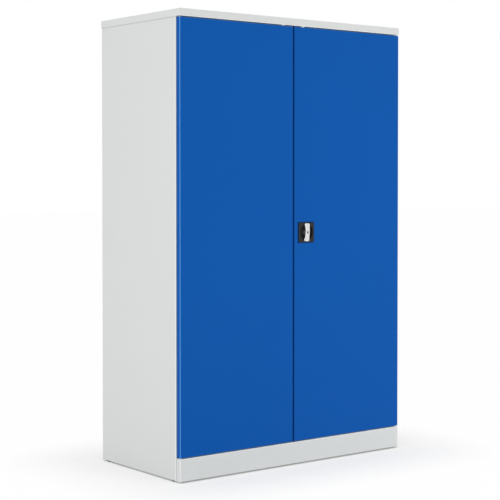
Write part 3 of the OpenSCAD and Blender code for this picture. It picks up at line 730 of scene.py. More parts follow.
topRail = {"depth": 29, "low": 1888.5, "high": 1948.5, "lip": 1903, "halfWidth": 588}
bm = bmesh.new()
front = cabinet["frontDepth"] + 0.5
rear = front + topRail["depth"]
foldedSection(bm, lengthwise(),
              [(rear, topRail["lip"]), (rear, topRail["low"]), (front, topRail["low"]),
               (front, topRail["high"]), (rear, topRail["high"])],
              (-topRail["halfWidth"], topRail["halfWidth"]), metal["sheet"])
keep("frontRail", bm, "grey_paint", ["top_front_rail"])

baseRail = {"front": 566, "rear": 597.25, "low": 6.75, "high": 39.25, "halfWidth": 615}
bm = bmesh.new()
foldedSection(bm, lengthwise(),
              [(baseRail["front"], baseRail["low"]), (baseRail["rear"], baseRail["low"]),
               (baseRail["rear"], baseRail["high"]), (baseRail["front"], baseRail["high"])],
              (-baseRail["halfWidth"], baseRail["halfWidth"]))
keep("rearBaseRail", bm, "grey_paint", ["rear_base_rail"])
print("body sheets done")

# uprights, shelves and clips

uprights = {"width": 30, "depth": 12, "front": 64, "rear": 544, "pitch": 25, "slots": 69,
            "firstSlot": 150.0, "foot": 130.0, "head": 1880.0, "slot": (12, 5), "corner": 1.2}


def uprightPiece(side, slotted):
    # skin of one length of the channel, open towards the wall; slotted ones are one pitch long
    bm = bmesh.new()
    face = side * (cabinet["halfWidth"] - metal["sheet"] - uprights["depth"])
    wall = side * (cabinet["halfWidth"] - metal["sheet"])
    radius = metal["bend"]
    line = [(wall, 0.0)]
    line += [(face + side * (radius - radius * math.sin(a)), radius - radius * math.cos(a))
             for a in quarter()]
    other = [(x, uprights["width"] - y) for x, y in reversed(line)]
    low, high = (-uprights["pitch"] / 2, uprights["pitch"] / 2) if slotted else (0.0, 1.0)
    for part in (line, other):
        rows = [[bm.verts.new((x, y, z)) for x, y in part] for z in (low, high)]
        for k in range(len(part) - 1):
            bm.faces.new((rows[0][k], rows[0][k + 1], rows[1][k + 1], rows[1][k]))
    y0, y1 = radius, uprights["width"] - radius
    frameLoop = [(y0, low), (y1, low), (y1, high), (y0, high)]
    if not slotted:
        bm.faces.new([bm.verts.new((face, y, z)) for y, z in frameLoop])
        return rawObject("uprightBlank", bm)
    w, h, r = uprights["slot"][0] / 2, uprights["slot"][1] / 2, uprights["corner"]
    mid = uprights["width"] / 2
    loop = []
    for sy, sz, start in ((-1, -1, 180), (1, -1, 270), (1, 1, 0), (-1, 1, 90)):
        for k in range(3):
            a = math.radians(start + 45 * k)
            loop.append((mid + sy * (w - r) + r * math.cos(a), sz * (h - r) + r * math.sin(a)))
    outer = [bm.verts.new((face, y, z)) for y, z in frameLoop]
    hole = [bm.verts.new((face, y, z)) for y, z in loop]
    for k in range(4):
        here, there = hole[3 * k:3 * k + 3], hole[(3 * k + 3) % 12]
        bm.faces.new([outer[k], here[0], here[1]])
        bm.faces.new([outer[k], here[1], here[2]])
        bm.faces.new([outer[k], here[2], there, outer[(k + 1) % 4]])
    return rawObject("uprightSlotted", bm)


def thicken(holder):
    weld = holder.modifiers.new("weld", "WELD")
    weld.merge_threshold = 0.01
    wall = holder.modifiers.new("wall", "SOLIDIFY")
    wall.thickness, wall.offset, wall.use_even_offset = metal["strip"], -1, True


for sideName, side in (("left", -1), ("right", 1)):
    models = [uprightPiece(side, True), uprightPiece(side, False)]
    for model in models:
        # outwards is towards the middle of the cabinet
        bm = bmesh.new()
        bm.from_mesh(model.data)
        face = next(f for f in bm.faces if abs(f.normal.x) > 0.99)
        if face.normal.x * side > 0:
            bmesh.ops.reverse_faces(bm, faces=bm.faces)
        bm.to_mesh(model.data)
        bm.free()
    for placeName in ("front", "rear"):
        mesh = runTree(perforatedStrip, {
            "Slotted": models[0], "Blank": models[1], "Slots": uprights["slots"],
            "Pitch": float(uprights["pitch"]), "First slot": uprights["firstSlot"],
            "Foot": uprights["foot"], "Head": uprights["head"],
            "Finish": finishes["grey_paint"]}, thicken)
        mesh.transform(Matrix.Translation((0, uprights[placeName], 0)))
        keepMesh("upright" + placeName.title() + sideName.title(), mesh, "grey_paint",
                 [f"shelf_upright_{placeName}_{sideName}"])
    for model in models:
        drop(model)

shelves = {"halfWidth": 603, "front": 48, "depth": 544, "height": 25, "lip": 12,
           "undersides": (480, 830, 1180, 1530)}

for number, low in enumerate(shelves["undersides"], 1):
    bm = bmesh.new()
    foldedTray(bm, upright(-shelves["halfWidth"], shelves["front"], low + shelves["height"], -1),
               (2 * shelves["halfWidth"], shelves["depth"]), shelves["height"],
               {"vLow": shelves["lip"], "vHigh": shelves["lip"]})
    keep(f"shelf{number}", bm, "grey_paint", [f"shelf_{number}"])

clip = {"width": 18, "tongue": 15, "rest": 5, "nose": 6, "neck": 3.6, "neckWidth": 10,
        "rows": 4, "span": 1050, "middle": 1000}


def clipModel():
    # plate against the upright, tongue under the shelf, hook behind the slot
    bm = bmesh.new()
    t, w = metal["strip"], clip["width"] / 2
    foldedSection(bm, facing(),
                  [(t / 2, -clip["nose"]), (t / 2, clip["rest"] - t / 2 - 0.25),
                   (clip["tongue"], clip["rest"] - t / 2 - 0.25)], (-w, w), t, 2.2)
    n = clip["neckWidth"] / 2
    foldedSection(bm, facing(),
                  [(t / 2, 1.2), (-clip["neck"] + t / 2, 1.2),
                   (-clip["neck"] + t / 2, -clip["nose"])], (-n, n), t - 0.2, 1.6)
    return bm


bm = bmesh.new()
for turn in (0, math.pi):
    for y in (uprights["front"] + 15, uprights["rear"] + 15):
        wall = -(cabinet["halfWidth"] - metal["sheet"] - uprights["depth"])
        mesh = fasteners(clipModel(), "zinc_plate", 1, clip["rows"], 0.0, clip["span"],
                         (wall, -y if turn else y, clip["middle"]))
        mesh.transform(Matrix.Rotation(turn, 4, "Z"))
        takeIn(bm, mesh)
keep("shelfClips", bm, "zinc_plate", ["shelf_clips"], bevel=0.25)
print("shelves done")

# small parts of the body

screw = {"shank": 2.0, "head": 4.0, "height": 2.2, "length": 3, "recess": 1.1,
         "span": (1080, 1833), "middle": 1009}


def panHead(shank, head, height, length, recess):
    # pan-head screw that points to the front, its head at the rear, with a recess in it
    bm = bmesh.new()
    dome = [(head * math.cos(a), height * 0.45 + height * 0.55 * math.sin(a))
            for a in quarter(5)]
    lathe(bm, facing(), [(0, -length), (shank * 0.6, -length), (shank, -length + 0.8), (shank, 0),
                         (head * 0.96, 0), (head, 0.2), *dome[:-1], (recess, height * 0.99),
                         (recess * 0.5, height * 0.4), (0, height * 0.35)], 24)
    return bm


bm = panHead(screw["shank"], screw["head"], screw["height"], screw["length"], screw["recess"])
mesh = fasteners(bm, "zinc_plate", 4, 2, *screw["span"],
                 (0, cabinet["frontDepth"] + metal["sheet"], screw["middle"]), turn=1.5, seed=4)
keepMesh("frameScrews", mesh, "zinc_plate", ["frame_screws"])

rivet = {"shank": 1.6, "head": 3.2, "height": 1.1, "tail": 3, "span": (1206, 1658),
         "middle": 989, "rows": 8}
bm = bmesh.new()
r, h, tail = rivet["head"], rivet["height"], rivet["tail"]
dome = [(r * math.cos(a), h * (0.25 + 0.75 * math.sin(a))) for a in quarter(5)]
lathe(bm, facing(y=cabinet["depth"]),
      [(0, -tail), (r - 0.6, -tail), (r, -tail + 0.4), (r, -tail + 1), (rivet["shank"], -tail + 1),
       (rivet["shank"], 0), (r, 0), *dome[:-2], (0.9, h * 0.97), (0.75, h * 0.5),
       (0, h * 0.45)], 24)
mesh = fasteners(bm, "zinc_plate", 2, rivet["rows"], *rivet["span"], (0, 0, rivet["middle"]),
                 turn=3.0, seed=7)
keepMesh("backRivets", mesh, "zinc_plate", ["back_rivets"])

glide = {"radius": 12, "stem": 4, "top": 10, "span": (1206, 500), "middle": 310}
bm = bmesh.new()
r, h, stem = glide["radius"], cabinet["glide"], glide["stem"]
lathe(bm, upright(), [(0, 0.6), (r - 3.5, 0.6), (r - 2.8, 0), (r - 1.2, 0), (r - 0.3, 0.5),
                      (r, 1.4), (r, h - 1.2), (r - 0.3, h - 0.4), (r - 1.1, h), (stem, h),
                      (stem, glide["top"] - 0.8), (stem - 0.6, glide["top"]),
                      (0, glide["top"])], 40)
mesh = fasteners(bm, "black_plastic", 2, 2, *glide["span"], (0, glide["middle"], 0),
                 (0.0, 0.0, 0.0))
keepMesh("baseGlides", mesh, "black_plastic", ["base_glides"])

buffer = {"radius": 5, "front": 25.3, "span": (180, 1795.5), "middle": 1008.75}
bm = bmesh.new()
r, front, rear = buffer["radius"], buffer["front"], cabinet["frontDepth"]
lathe(bm, facing(), [(0, front), (r - 2.4, front), (r - 1.2, front + 0.2), (r - 0.4, front + 0.9),
                     (r, front + 1.9), (r, rear), (0, rear)], 32)
mesh = fasteners(bm, "black_rubber", 2, 2, *buffer["span"],
                 (cabinet["split"], 0, buffer["middle"]))
keepMesh("doorBuffers", mesh, "black_rubber", ["door_buffers"])

pads = {"offset": 56, "size": (10, 12), "front": 1.5, "low": 1914.3}
bm = bmesh.new()
for side in (-1, 1):
    x = cabinet["split"] + side * pads["offset"]
    box(bm, (x - pads["size"][0] / 2, pads["front"], pads["low"]),
        (x + pads["size"][0] / 2, pads["front"] + pads["size"][1], cabinet["capBottom"]))
keep("doorPads", bm, "white_nylon", ["door_pads"], bevel=0.7)

hinge = {"radius": 3, "head": 5, "headHeight": 3, "plate": 3, "bush": 5, "bushLength": 12,
         "bushFlange": 6.5, "washer": 7, "play": 0.05}
hinge["inner"] = hinge["radius"] + hinge["play"]
behind = metal["sheet"] + hinge["plate"]
lowGap = cabinet["doorLow"] - cabinet["plinthTop"]
highGap = cabinet["capBottom"] - cabinet["doorHigh"]
for name, z, way, gap in (("upper", cabinet["capBottom"] + behind, -1, highGap),
                          ("lower", cabinet["plinthTop"] - behind, 1, lowGap)):
    bm = bmesh.new()
    reach = behind + gap + hinge["bushLength"]
    r, head, high = hinge["radius"], hinge["head"], hinge["headHeight"]
    for x in (-cabinet["hingeX"], cabinet["hingeX"]):
        lathe(bm, upright(x, cabinet["hingeY"], z, way),
              [(0, -high), (head - 0.6, -high), (head, -high + 0.6), (head, 0), (r, 0),
               (r, reach - 1.2), (r - 1.0, reach), (0, reach)], 32)
    keep(name + "HingePins", bm, "zinc_plate", [name + "_hinge_pins"])
bm = bmesh.new()
r, inner = hinge["washer"], hinge["inner"]
for x in (-cabinet["hingeX"], cabinet["hingeX"]):
    lathe(bm, upright(x, cabinet["hingeY"], cabinet["plinthTop"]),
          [(inner, 0), (r - 0.4, 0), (r, 0.4), (r, lowGap - 0.4), (r - 0.4, lowGap),
           (inner, lowGap)], 40)
keep("hingeWashers", bm, "white_nylon", ["hinge_washers"])
print("small parts done")

# doors

door = {"depth": 25, "lip": 15, "gap": 5, "guide": 6.5, "guideLength": 9, "guideBore": 4.3,
        "stiffener": 20.25, "stiffenerHalf": 29.25, "flange": 44.25, "low": 1.75, "end": 24,
        "panHole": 37.3, "stud": (36, 35.5), "studHole": 4.3}
weld = {"pitch": 75, "apart": 75, "margin": 40, "back": 2.5}
doorEnds = ((cabinet["doorLow"], 1), (cabinet["doorHigh"], -1))       # height, way in
doorSpans = {"left": (-cabinet["halfWidth"], cabinet["split"] - door["gap"] / 2),
             "right": (cabinet["split"] + door["gap"] / 2, cabinet["halfWidth"])}


def sleeve(bm, x, y, z, way, bore, outer, flange, length):
    # pushed through a door's end from inside, its flange behind the sheet
    lathe(bm, upright(x, y, z, way),
          [(bore, 0.3), (bore + 0.4, 0), (outer - 0.3, 0), (outer, 0.3), (outer, 1), (flange, 1),
           (flange, 2.6), (flange - 0.5, 3), (outer, 3), (outer, length - 0.5),
           (outer - 0.5, length), (bore, length)], 40)


for name, (x0, x1) in doorSpans.items():
    hingeX = -cabinet["hingeX"] if name == "left" else cabinet["hingeX"]
    rodX = cabinet["boltX"] if name == "left" else cabinet["rodX"]
    bm = bmesh.new()
    foldedTray(bm, facing(x0, 0, cabinet["doorLow"]),
               (x1 - x0, cabinet["doorHigh"] - cabinet["doorLow"]), door["depth"],
               {side: door["lip"] for side in ("vLow", "uHigh", "vHigh", "uLow")})
    cuts = bmesh.new()
    for z, way in doorEnds:
        drill(cuts, upright(hingeX, cabinet["hingeY"]), hinge["bush"], z - 2, z + 2)
        drill(cuts, upright(rodX, cabinet["rodY"]), door["guide"], z - 2, z + 2)
    if name == "right":
        drill(cuts, facing(rodX, 0, cabinet["handleZ"]), door["panHole"], -1, 2)
        for x in (-1, 1):
            for z in (-1, 1):
                drill(cuts, facing(rodX + x * door["stud"][0], 0,
                                   cabinet["handleZ"] + z * door["stud"][1]),
                      door["studHole"], -1, 2)
    keep(name + "DoorPanel", bm, "blue_paint", [f"door_{name}_panel"], cuts)

    bm = bmesh.new()
    middle = (x0 + x1) / 2
    span = (cabinet["doorLow"] + door["end"], cabinet["doorHigh"] - door["end"])
    channel(bm, upright(middle), door["stiffenerHalf"], door["flange"], door["low"],
            door["stiffener"], span)
    # spot welds along both flanges
    spot = bmesh.new()
    lathe(spot, facing(y=weld["back"]), [(0, 0.05), (1.6, 0.08), (2.4, 0.28), (3.0, 0.22),
                                         (3.4, 0.0), (2.6, -0.3), (0, -0.3)], 16)
    count = int((span[1] - span[0] - weld["margin"]) // weld["pitch"]) + 1
    takeIn(bm, fasteners(spot, "blue_paint", 2, count, weld["apart"], (count - 1) * weld["pitch"],
                         (middle, 0, sum(span) / 2), turn=3.0, seed=11))
    keep(name + "DoorStiffener", bm, "blue_paint", [f"door_{name}_stiffener"])

    bm = bmesh.new()
    for z, way in doorEnds:
        sleeve(bm, hingeX, cabinet["hingeY"], z, way, hinge["inner"], hinge["bush"],
               hinge["bushFlange"], hinge["bushLength"])
    keep(name + "DoorHingeBushes", bm, "black_plastic", [f"door_{name}_hinge_bushes"])

    bm = bmesh.new()
    for z, way in doorEnds:
        sleeve(bm, rodX, cabinet["rodY"], z, way, door["guideBore"], door["guide"],
               door["guide"] + 1.5, door["guideLength"])
    keep("boltEndGuides" if name == "left" else "rodEndGuides", bm, "black_plastic",
         ["bolt_end_guides" if name == "left" else "rod_end_guides"])
print("doors done")

# slide bolts of the left door

bolt = {"radius": 4, "length": 124, "tip": 5, "drawnIn": 1.5, "stem": 3, "knob": 5,
        "knobBack": 34, "bracket": 90, "below": 29, "earBack": 21, "halfWidth": 13,
        "plate": 1.8, "bore": 4.3}

for name, z, way in (("upper", cabinet["doorHigh"], -1), ("lower", cabinet["doorLow"], 1)):
    # w runs from the door's end into the door
    bm = bmesh.new()
    r, start, end = bolt["radius"], bolt["drawnIn"], bolt["drawnIn"] + bolt["length"]
    lathe(bm, upright(cabinet["boltX"], cabinet["rodY"], z, way),
          [(0, start), (r / 2 - 0.4, start), (r / 2, start + 0.4), (r, start + bolt["tip"]),
           (r, end - 0.6), (r - 0.6, end), (0, end)], 40)
    knobZ = z + way * (bolt["below"] + bolt["bracket"] / 2)
    stem, knob, back = bolt["stem"], bolt["knob"], bolt["knobBack"]
    lathe(bm, facing(cabinet["boltX"], 0, knobZ),
          [(0, cabinet["rodY"]), (stem, cabinet["rodY"]), (stem, back - 6.8),
           (stem + 0.4, back - 6.3), (knob - 0.4, back - 6), (knob, back - 5.6),
           (knob, back - 1.4), (knob - 0.5, back - 0.4), (knob - 1.4, back), (0, back)], 40)
    keep(name + "SlideBolt", bm, "zinc_plate", [name + "_bolt"])

bm, cuts = bmesh.new(), bmesh.new()
for z, way in ((cabinet["doorHigh"], -1), (cabinet["doorLow"], 1)):
    half, end = bolt["plate"] / 2, bolt["below"] + bolt["bracket"]
    low, high, front = bolt["below"] + half, end - half, metal["sheet"] + half
    foldedSection(bm, lengthwise(cabinet["boltX"], 0, z, way),
                  [(bolt["earBack"], low), (front, low), (front, high), (bolt["earBack"], high)],
                  (-bolt["halfWidth"], bolt["halfWidth"]), bolt["plate"])
    drill(cuts, upright(cabinet["boltX"], cabinet["rodY"], z, way), bolt["bore"],
          bolt["below"] - 4, end + 4)
keep("boltBrackets", bm, "zinc_plate", ["bolt_brackets"], cuts)

# handle, lock and rods of the right door

handle = {"panWidth": 88, "panHeight": 87, "corner": 9, "proud": 2.5, "edge": 1.5, "dish": 35,
          "dishFloor": 9, "dishRound": 7, "dishBack": 37, "rim": 1.6, "seat": 11, "seatRound": 3,
          "collar": 13, "collarTop": 12.2, "bore": 9.06, "steps": 192}


def plateLoop(width, height, corner, y):
    # points of a rounded rectangle, one for each direction from its middle
    loop = []
    for k in range(handle["steps"]):
        a = 2 * math.pi * k / handle["steps"]
        c, s = abs(math.cos(a)), abs(math.sin(a))
        hx, hz = width / 2, height / 2
        reach = min(hx / max(c, 1e-9), hz / max(s, 1e-9))
        if reach * c > hx - corner and reach * s > hz - corner:
            cx, cz = hx - corner, hz - corner
            dot = c * cx + s * cz
            reach = dot + math.sqrt(max(0.0, dot * dot - cx * cx - cz * cz + corner * corner))
        loop.append(Vector((reach * math.cos(a), y, reach * math.sin(a))))
    return loop


def circleLoop(radius, y):
    return [Vector((radius * math.cos(2 * math.pi * k / handle["steps"]), y,
                    radius * math.sin(2 * math.pi * k / handle["steps"])))
            for k in range(handle["steps"])]


atHandle = Matrix.Translation((cabinet["rodX"], 0, cabinet["handleZ"]))


def handlePan():
    bm = bmesh.new()
    floor, soft, edge, rim = (handle[key] for key in ("dishFloor", "dishRound", "edge", "rim"))
    # bore, then the dish's floor with a low ring pressed in it
    rings = [circleLoop(radius, y) for radius, y in (
        (handle["bore"], handle["collarTop"]), (handle["bore"], floor + 0.5),
        (handle["bore"] + 0.5, floor), (16, floor), (18, floor - 0.5), (19.5, floor - 0.5),
        (21, floor))]
    # the dish's floor runs up into its wall, and the wall into the rim
    for a in quarter(8):
        rings.append(circleLoop(handle["dish"] - 0.6 - soft + soft * math.sin(a),
                                floor - soft + soft * math.cos(a)))
    for a in quarter(5):
        rings.append(circleLoop(handle["dish"] + rim - rim * math.cos(a),
                                -handle["proud"] + rim - rim * math.sin(a)))
    w, h, r = handle["panWidth"], handle["panHeight"], handle["corner"]
    for a in quarter(5):
        inset = edge - edge * math.sin(a)
        rings.append(plateLoop(w - 2 * inset, h - 2 * inset, r - inset,
                               -handle["proud"] + edge - edge * math.cos(a)))
    rings += [plateLoop(w, h, r, -0.15), plateLoop(w - 0.3, h - 0.3, r - 0.15, 0.0)]
    back, seat, soft = handle["dishBack"], handle["seat"], handle["seatRound"]
    rings += [circleLoop(back, 0.0), circleLoop(back, seat - soft)]
    for a in quarter(4):
        rings.append(circleLoop(back + soft * (math.cos(a) - 1), seat + soft * (math.sin(a) - 1)))
    rings += [circleLoop(handle["collar"], y) for y in (seat, handle["collarTop"])]
    skin(bm, rings, closed=True)
    for x in (-1, 1):
        for z in (-1, 1):
            lathe(bm, facing(x * door["stud"][0], 0, z * door["stud"][1]),
                  [(0, 0.2), (4, 0.2), (4, seat - 0.4), (3.6, seat), (0, seat)], 24)
    bmesh.ops.transform(bm, matrix=atHandle, verts=bm.verts)
    keep("handlePan", bm, "black_plastic", ["handle_pan"], sharp=30)


handlePan()

grip = {"length": 80, "ends": 28, "waist": 22, "front": -12, "rise": 6, "thick": 2.7,
        "crown": 0.55, "edge": 1.15, "lean": 2.7, "boss": 9, "bossFront": -11.2, "bossRear": 12.2,
        "bore": 6.05, "boreRear": 6.0, "spindle": 5, "rear": 23.9, "across": 14, "along": 56}


def gripPoint(s, t):
    # s runs along the grip and t across it, both from -1 to 1
    z = s * math.sqrt((grip["length"] / 2) ** 2 - (t * grip["ends"] / 2) ** 2)
    share = abs(z) / (grip["length"] / 2)
    half = (grip["waist"] + (grip["ends"] - grip["waist"]) * min(1, share * 1.08) ** 1.9) / 2
    y = grip["front"] + grip["rise"] * share ** 2 + grip["crown"] * t * t
    return Vector((t * half, y, z))


def handleGrip():
    bm = bmesh.new()
    rows = [[bm.verts.new(gripPoint(-1 + 2 * i / grip["along"], -1 + 2 * j / grip["across"]))
             for j in range(grip["across"] + 1)] for i in range(grip["along"] + 1)]
    for i in range(grip["along"]):
        for j in range(grip["across"]):
            bm.faces.new((rows[i][j], rows[i][j + 1], rows[i + 1][j + 1], rows[i + 1][j]))
    for face in bm.faces:
        face.normal_update()
    if sum(f.normal.y for f in bm.faces) > 0:
        bmesh.ops.reverse_faces(bm, faces=bm.faces)
    bow = linked("gripBow", meshFrom("gripBow", bm))
    wall = bow.modifiers.new("wall", "SOLIDIFY")
    wall.thickness, wall.offset, wall.use_even_offset = grip["thick"], -1, True
    roundEdges(bow, grip["edge"], 4, 55)
    cutter = bmesh.new()
    drill(cutter, facing(), grip["bore"], -20, 20)
    hole = rawObject("gripBore", cutter)
    cutAway(bow, hole)
    shaped = evaluated(bow)
    drop(bow)
    drop(hole)
    shaped.transform(Matrix.Rotation(math.radians(grip["lean"]), 4, "Y"))
    bm = bmesh.new()
    takeIn(bm, shaped)
    boss, spindle, front, rear = (grip[key] for key in ("boss", "spindle", "bossFront", "rear"))
    lathe(bm, facing(),
          [(grip["bore"], front), (boss - 1, front), (boss - 0.6, front + 2.2),
           (boss + 1.4, front + 2.6), (boss, front + 4.2), (boss, grip["bossRear"]),
           (spindle, grip["bossRear"]), (spindle, rear - 0.6), (spindle - 0.6, rear),
           (0.01, rear), (0.01, grip["boreRear"]), (grip["bore"], grip["boreRear"])], 64)
    bmesh.ops.transform(bm, matrix=atHandle, verts=bm.verts)
    keep("handleGrip", bm, "bright_metal", ["handle_grip"], sharp=42)


handleGrip()

plug = {"radius": 6, "front": -12, "rear": 5.5, "slot": (2.4, 8.4), "face": 4.7}
entry = {"half": (0.0034, 0.0057), "edge": 0.15, "dark": (0.006, 0.006, 0.006, 1)}


def lockFace(name):
    # nickel plate with a black oval key entry round the slot
    material, wire, place = startMaterial(name)
    axes = wire.add("ShaderNodeSeparateXYZ", None, {0: place})
    x = (axes - cabinet["rodX"] / 1000) / entry["half"][0]
    z = (axes.other(2) - cabinet["handleZ"] / 1000) / entry["half"][1]
    inside = ((1 + entry["edge"] - (x * x + z * z)) / entry["edge"]).clamped()
    brushed = noise(stretched(place, (2600, 90, 2600)), 1.0, 3.0)
    bright = brushed.blend(gripLook["face"], gripLook["worn"])
    finishMaterial(wire, {
        "Base Color": inside.blend(bright, entry["dark"]),
        "Metallic": gripLook["metallic"] - inside * gripLook["metallic"],
        "Roughness": (gripLook["rough"] + brushed * 0.10 + inside * 0.4).clamped(),
        "Specular IOR Level": 0.2,
    }, gripLook["bump"], 0.0002, brushed)
    return material


finishes["lock_face"] = lockFace("keyEntryNickel")
bm = bmesh.new()
face, r, front, rear = (plug[key] for key in ("face", "radius", "front", "rear"))
lathe(bm, facing(), [(0, front + 0.5), (face - 0.2, front + 0.5), (face, front + 0.1),
                     (face + 0.15, front), (r - 0.3, front), (r, front + 0.3), (r, rear - 0.4),
                     (r - 0.4, rear), (0, rear)], 64)
bmesh.ops.transform(bm, matrix=atHandle, verts=bm.verts)
cuts = bmesh.new()
w, h = plug["slot"][0] / 2, plug["slot"][1] / 2
box(cuts, (cabinet["rodX"] - w, -15, cabinet["handleZ"] - h),
    (cabinet["rodX"] + w, -2, cabinet["handleZ"] + h))
keep("lockCylinder", bm, "bright_metal", ["lock_cylinder"], cuts, sharp=30, finish="lock_face")

lockCase = {"half": 27, "flange": 43, "front": 11, "back": 22.5, "tall": 46, "bore": 5.4}
bm = bmesh.new()
wall = metal["strip"] / 2
channel(bm, upright(cabinet["rodX"], 0, cabinet["handleZ"]), lockCase["half"] - wall,
        lockCase["flange"], lockCase["front"] + wall, lockCase["back"] - wall,
        (-lockCase["tall"], lockCase["tall"]))
cuts = bmesh.new()
drill(cuts, facing(cabinet["rodX"], 0, cabinet["handleZ"]), lockCase["bore"], 18, 26)
keep("lockCase", bm, "zinc_plate", ["lock_case"], cuts)

panScrew = {"shank": 1.7, "head": 3.6, "height": 2.0, "length": 11, "recess": 1.0}
mesh = fasteners(panHead(**panScrew), "zinc_plate", 2, 2, 2 * door["stud"][0],
                 2 * door["stud"][1], (cabinet["rodX"], handle["seat"] + metal["strip"],
                                       cabinet["handleZ"]), turn=1.5, seed=3)
keepMesh("handleScrews", mesh, "zinc_plate", ["handle_screws"])

saddle = {"inner": 4.5, "wing": 16, "length": 24, "back": 19.25, "bend": 2.4}
bm = bmesh.new()
for end in (cabinet["doorHigh"], cabinet["doorLow"]):
    channel(bm, upright(cabinet["rodX"], 0, (cabinet["handleZ"] + end) / 2),
            saddle["inner"] + wall, saddle["wing"], door["low"], saddle["back"],
            (-saddle["length"] / 2, saddle["length"] / 2), saddle["bend"])
keep("rodBrackets", bm, "zinc_plate", ["rod_brackets"])

rod = {"radius": 4, "tip": 5, "hook": (5.5, 19), "low": -16, "top": 50, "neck": 12, "half": 1.5,
       "edge": 0.35, "slot": (7.2, 16.94), "slotLow": -13.0, "slotHigh": -7.0, "drawnIn": 1.5,
       "side": -5, "overlap": 10}


def lockingRod(name, length, flip):
    bm, cuts = bmesh.new(), bmesh.new()
    y = cabinet["rodY"]
    (inner, outer), low, top, side = rod["hook"], rod["low"], rod["top"], rod["side"]
    outline = [(inner, low), (outer, low), (outer, top), (side, top), (side, top - rod["neck"]),
               (inner, top - rod["neck"])]
    skin(bm, [[Vector((x, y + half, z)) for x, z in outline]
              for half in (-rod["half"], rod["half"])], caps=True)
    box(cuts, (rod["slot"][0], y - 4, rod["slotLow"]), (rod["slot"][1], y + 4, rod["slotHigh"]))
    plate = rawObject("hookPlate", bm)
    roundEdges(plate, rod["edge"], 2, 30)
    hole = rawObject("hookSlot", cuts)
    cutAway(plate, hole)
    mesh = evaluated(plate)
    drop(plate)
    drop(hole)
    bm = bmesh.new()
    takeIn(bm, mesh)
    r, start = rod["radius"], top - rod["overlap"]
    lathe(bm, upright(0, y), [(0, start), (r - 0.6, start), (r, start + 0.6),
                              (r, length - rod["tip"]), (r / 2, length - 0.4),
                              (r / 2 - 0.4, length), (0, length)], 40)
    if flip:
        bmesh.ops.transform(bm, matrix=Matrix.Rotation(math.pi, 4, "Y"), verts=bm.verts)
    bmesh.ops.transform(bm, matrix=atHandle, verts=bm.verts)
    keep(name + "LockingRod", bm, "zinc_plate", [name + "_rod"])


lockingRod("upper", cabinet["doorHigh"] - rod["drawnIn"] - cabinet["handleZ"], False)
lockingRod("lower", cabinet["handleZ"] - rod["drawnIn"] - cabinet["doorLow"], True)

for name in ("upper_hinge_brackets", "lower_hinge_brackets", "lock_cam", "spindle_clip"):
    if nodes[name].material_slots:
        nodes[name].material_slots[0].material = finishes["zinc_plate"]
    else:
        nodes[name].data.materials.append(finishes["zinc_plate"])
print("handle and lock done")

# floor, light and camera

studio = {"floorSize": 40.0, "floor": (0.90, 0.90, 0.90, 1), "level": 0.70,
          "foot": (0.617, 0.300), "rim": 0.008, "fadeStart": 0.06, "fadeEnd": 0.45,
          "under": 0.15, "edge": 0.52, "pale": 0.97}


def floorMaterial():
    material, wire, place = startMaterial("studioFloor")
    apart = wire.add("ShaderNodeSeparateXYZ", None, {0: place})
    # how far a place lies outside the cabinet's footprint
    x = wire.sum("MAXIMUM", wire.sum("ABSOLUTE", apart, 0.0) - studio["foot"][0], 0.0)
    y = wire.sum("MAXIMUM", wire.sum("ABSOLUTE", apart.other(1), 0.0) - studio["foot"][1], 0.0)
    far = wire.sum("SQRT", x * x + y * y, 0.0)
    near = (far / studio["rim"]).clamped()
    fade = ((far - studio["fadeStart"]) / (studio["fadeEnd"] - studio["fadeStart"])).clamped()
    path = wire.add("ShaderNodeLightPath")
    seen = (path + path.other("Is Glossy Ray") + path.other("Is Transmission Ray")).clamped()
    grain = noise(place, 3, 2.0)
    plain = grain.blend(studio["floor"], tuple(c * 0.99 for c in studio["floor"][:3]) + (1,))
    shade = wire.add("ShaderNodeBsdfDiffuse", None, {"Color": plain})
    glow = wire.add("ShaderNodeEmission", None, {"Color": (1, 1, 1, 1), "Strength": 1.0})
    # the glow is weak under and next to the cabinet and grows between fadeStart and fadeEnd, a
    # painted soft shadow round the cabinet laid over its real one
    share = seen * (near * (studio["edge"] - studio["under"]) + studio["under"]
                    + fade * (studio["pale"] - studio["edge"]))
    mixed = wire.add("ShaderNodeMixShader", None, {0: share, 1: shade, 2: glow})
    wire.add("ShaderNodeOutputMaterial", None, {"Surface": mixed})
    return material


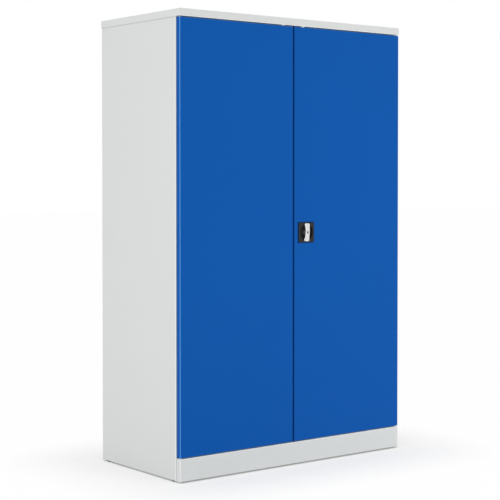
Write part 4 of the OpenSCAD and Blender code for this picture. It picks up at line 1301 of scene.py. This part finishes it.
bm = bmesh.new()
reach = studio["floorSize"]
bm.faces.new([bm.verts.new((x, y, 0)) for x, y in
              ((-reach, -reach), (reach, -reach), (reach, reach), (-reach, reach))])
floorPlane = linked("studioFloor", meshFrom("studioFloor", bm))
floorPlane.data.materials.append(floorMaterial())

world = bpy.data.worlds.new("paleStudio")
bpy.context.scene.world = world
world.use_nodes = True
world.node_tree.nodes.clear()
wire = Wire(world.node_tree)
path = wire.add("ShaderNodeLightPath")
shown = (path + path.other("Is Glossy Ray") + path.other("Is Transmission Ray")).clamped()
level = shown * (1.0 - studio["level"]) + studio["level"]
wire.add("ShaderNodeOutputWorld", None, {"Surface": wire.add("ShaderNodeBackground", None, {
    "Color": (1, 1, 1, 1), "Strength": level})})

lamps = {
    "leftSoftBox": {"at": (-4.8, -1.2, 1.7), "aim": (-0.6, 0.0, 1.0), "size": (2.0, 2.8),
                    "power": 62},
    "frontSoftBox": {"at": (1.15, -3.5, 1.2), "aim": (0.4, -0.3, 0.85), "size": (1.2, 1.8),
                     "power": 34, "mirrored": False},
    "overhead": {"at": (0.2, 0.1, 4.6), "aim": (0.0, 0.0, 1.2), "size": (2.4, 2.4), "power": 30},
}
for name, lamp in lamps.items():
    light = bpy.data.lights.new(name, "AREA")
    light.shape, light.size, light.size_y, light.energy = "RECTANGLE", *lamp["size"], lamp["power"]
    holder = linked(name, light)
    holder.location = lamp["at"]
    way = Vector(lamp["aim"]) - Vector(lamp["at"])
    holder.rotation_euler = way.to_track_quat("-Z", "Y").to_euler()
    holder.visible_camera = False
    holder.visible_glossy = lamp.get("mirrored", True)

view = {"at": (-3.8096, -4.8523, 1.2497), "lens": 97.936, "yaw": 37.953, "pitch": 1.289,
        "shift": -0.08}
camera = bpy.data.cameras.new("camera")
camera.sensor_width, camera.lens, camera.shift_y = 36.0, view["lens"], view["shift"]
camera.clip_start, camera.clip_end = 0.1, 100
cameraHolder = linked("camera", camera)
cameraHolder.location = view["at"]
cameraHolder.rotation_euler = (math.radians(90 - view["pitch"]), 0, math.radians(-view["yaw"]))
bpy.context.scene.camera = cameraHolder
bpy.context.scene.view_settings.view_transform = "Standard"
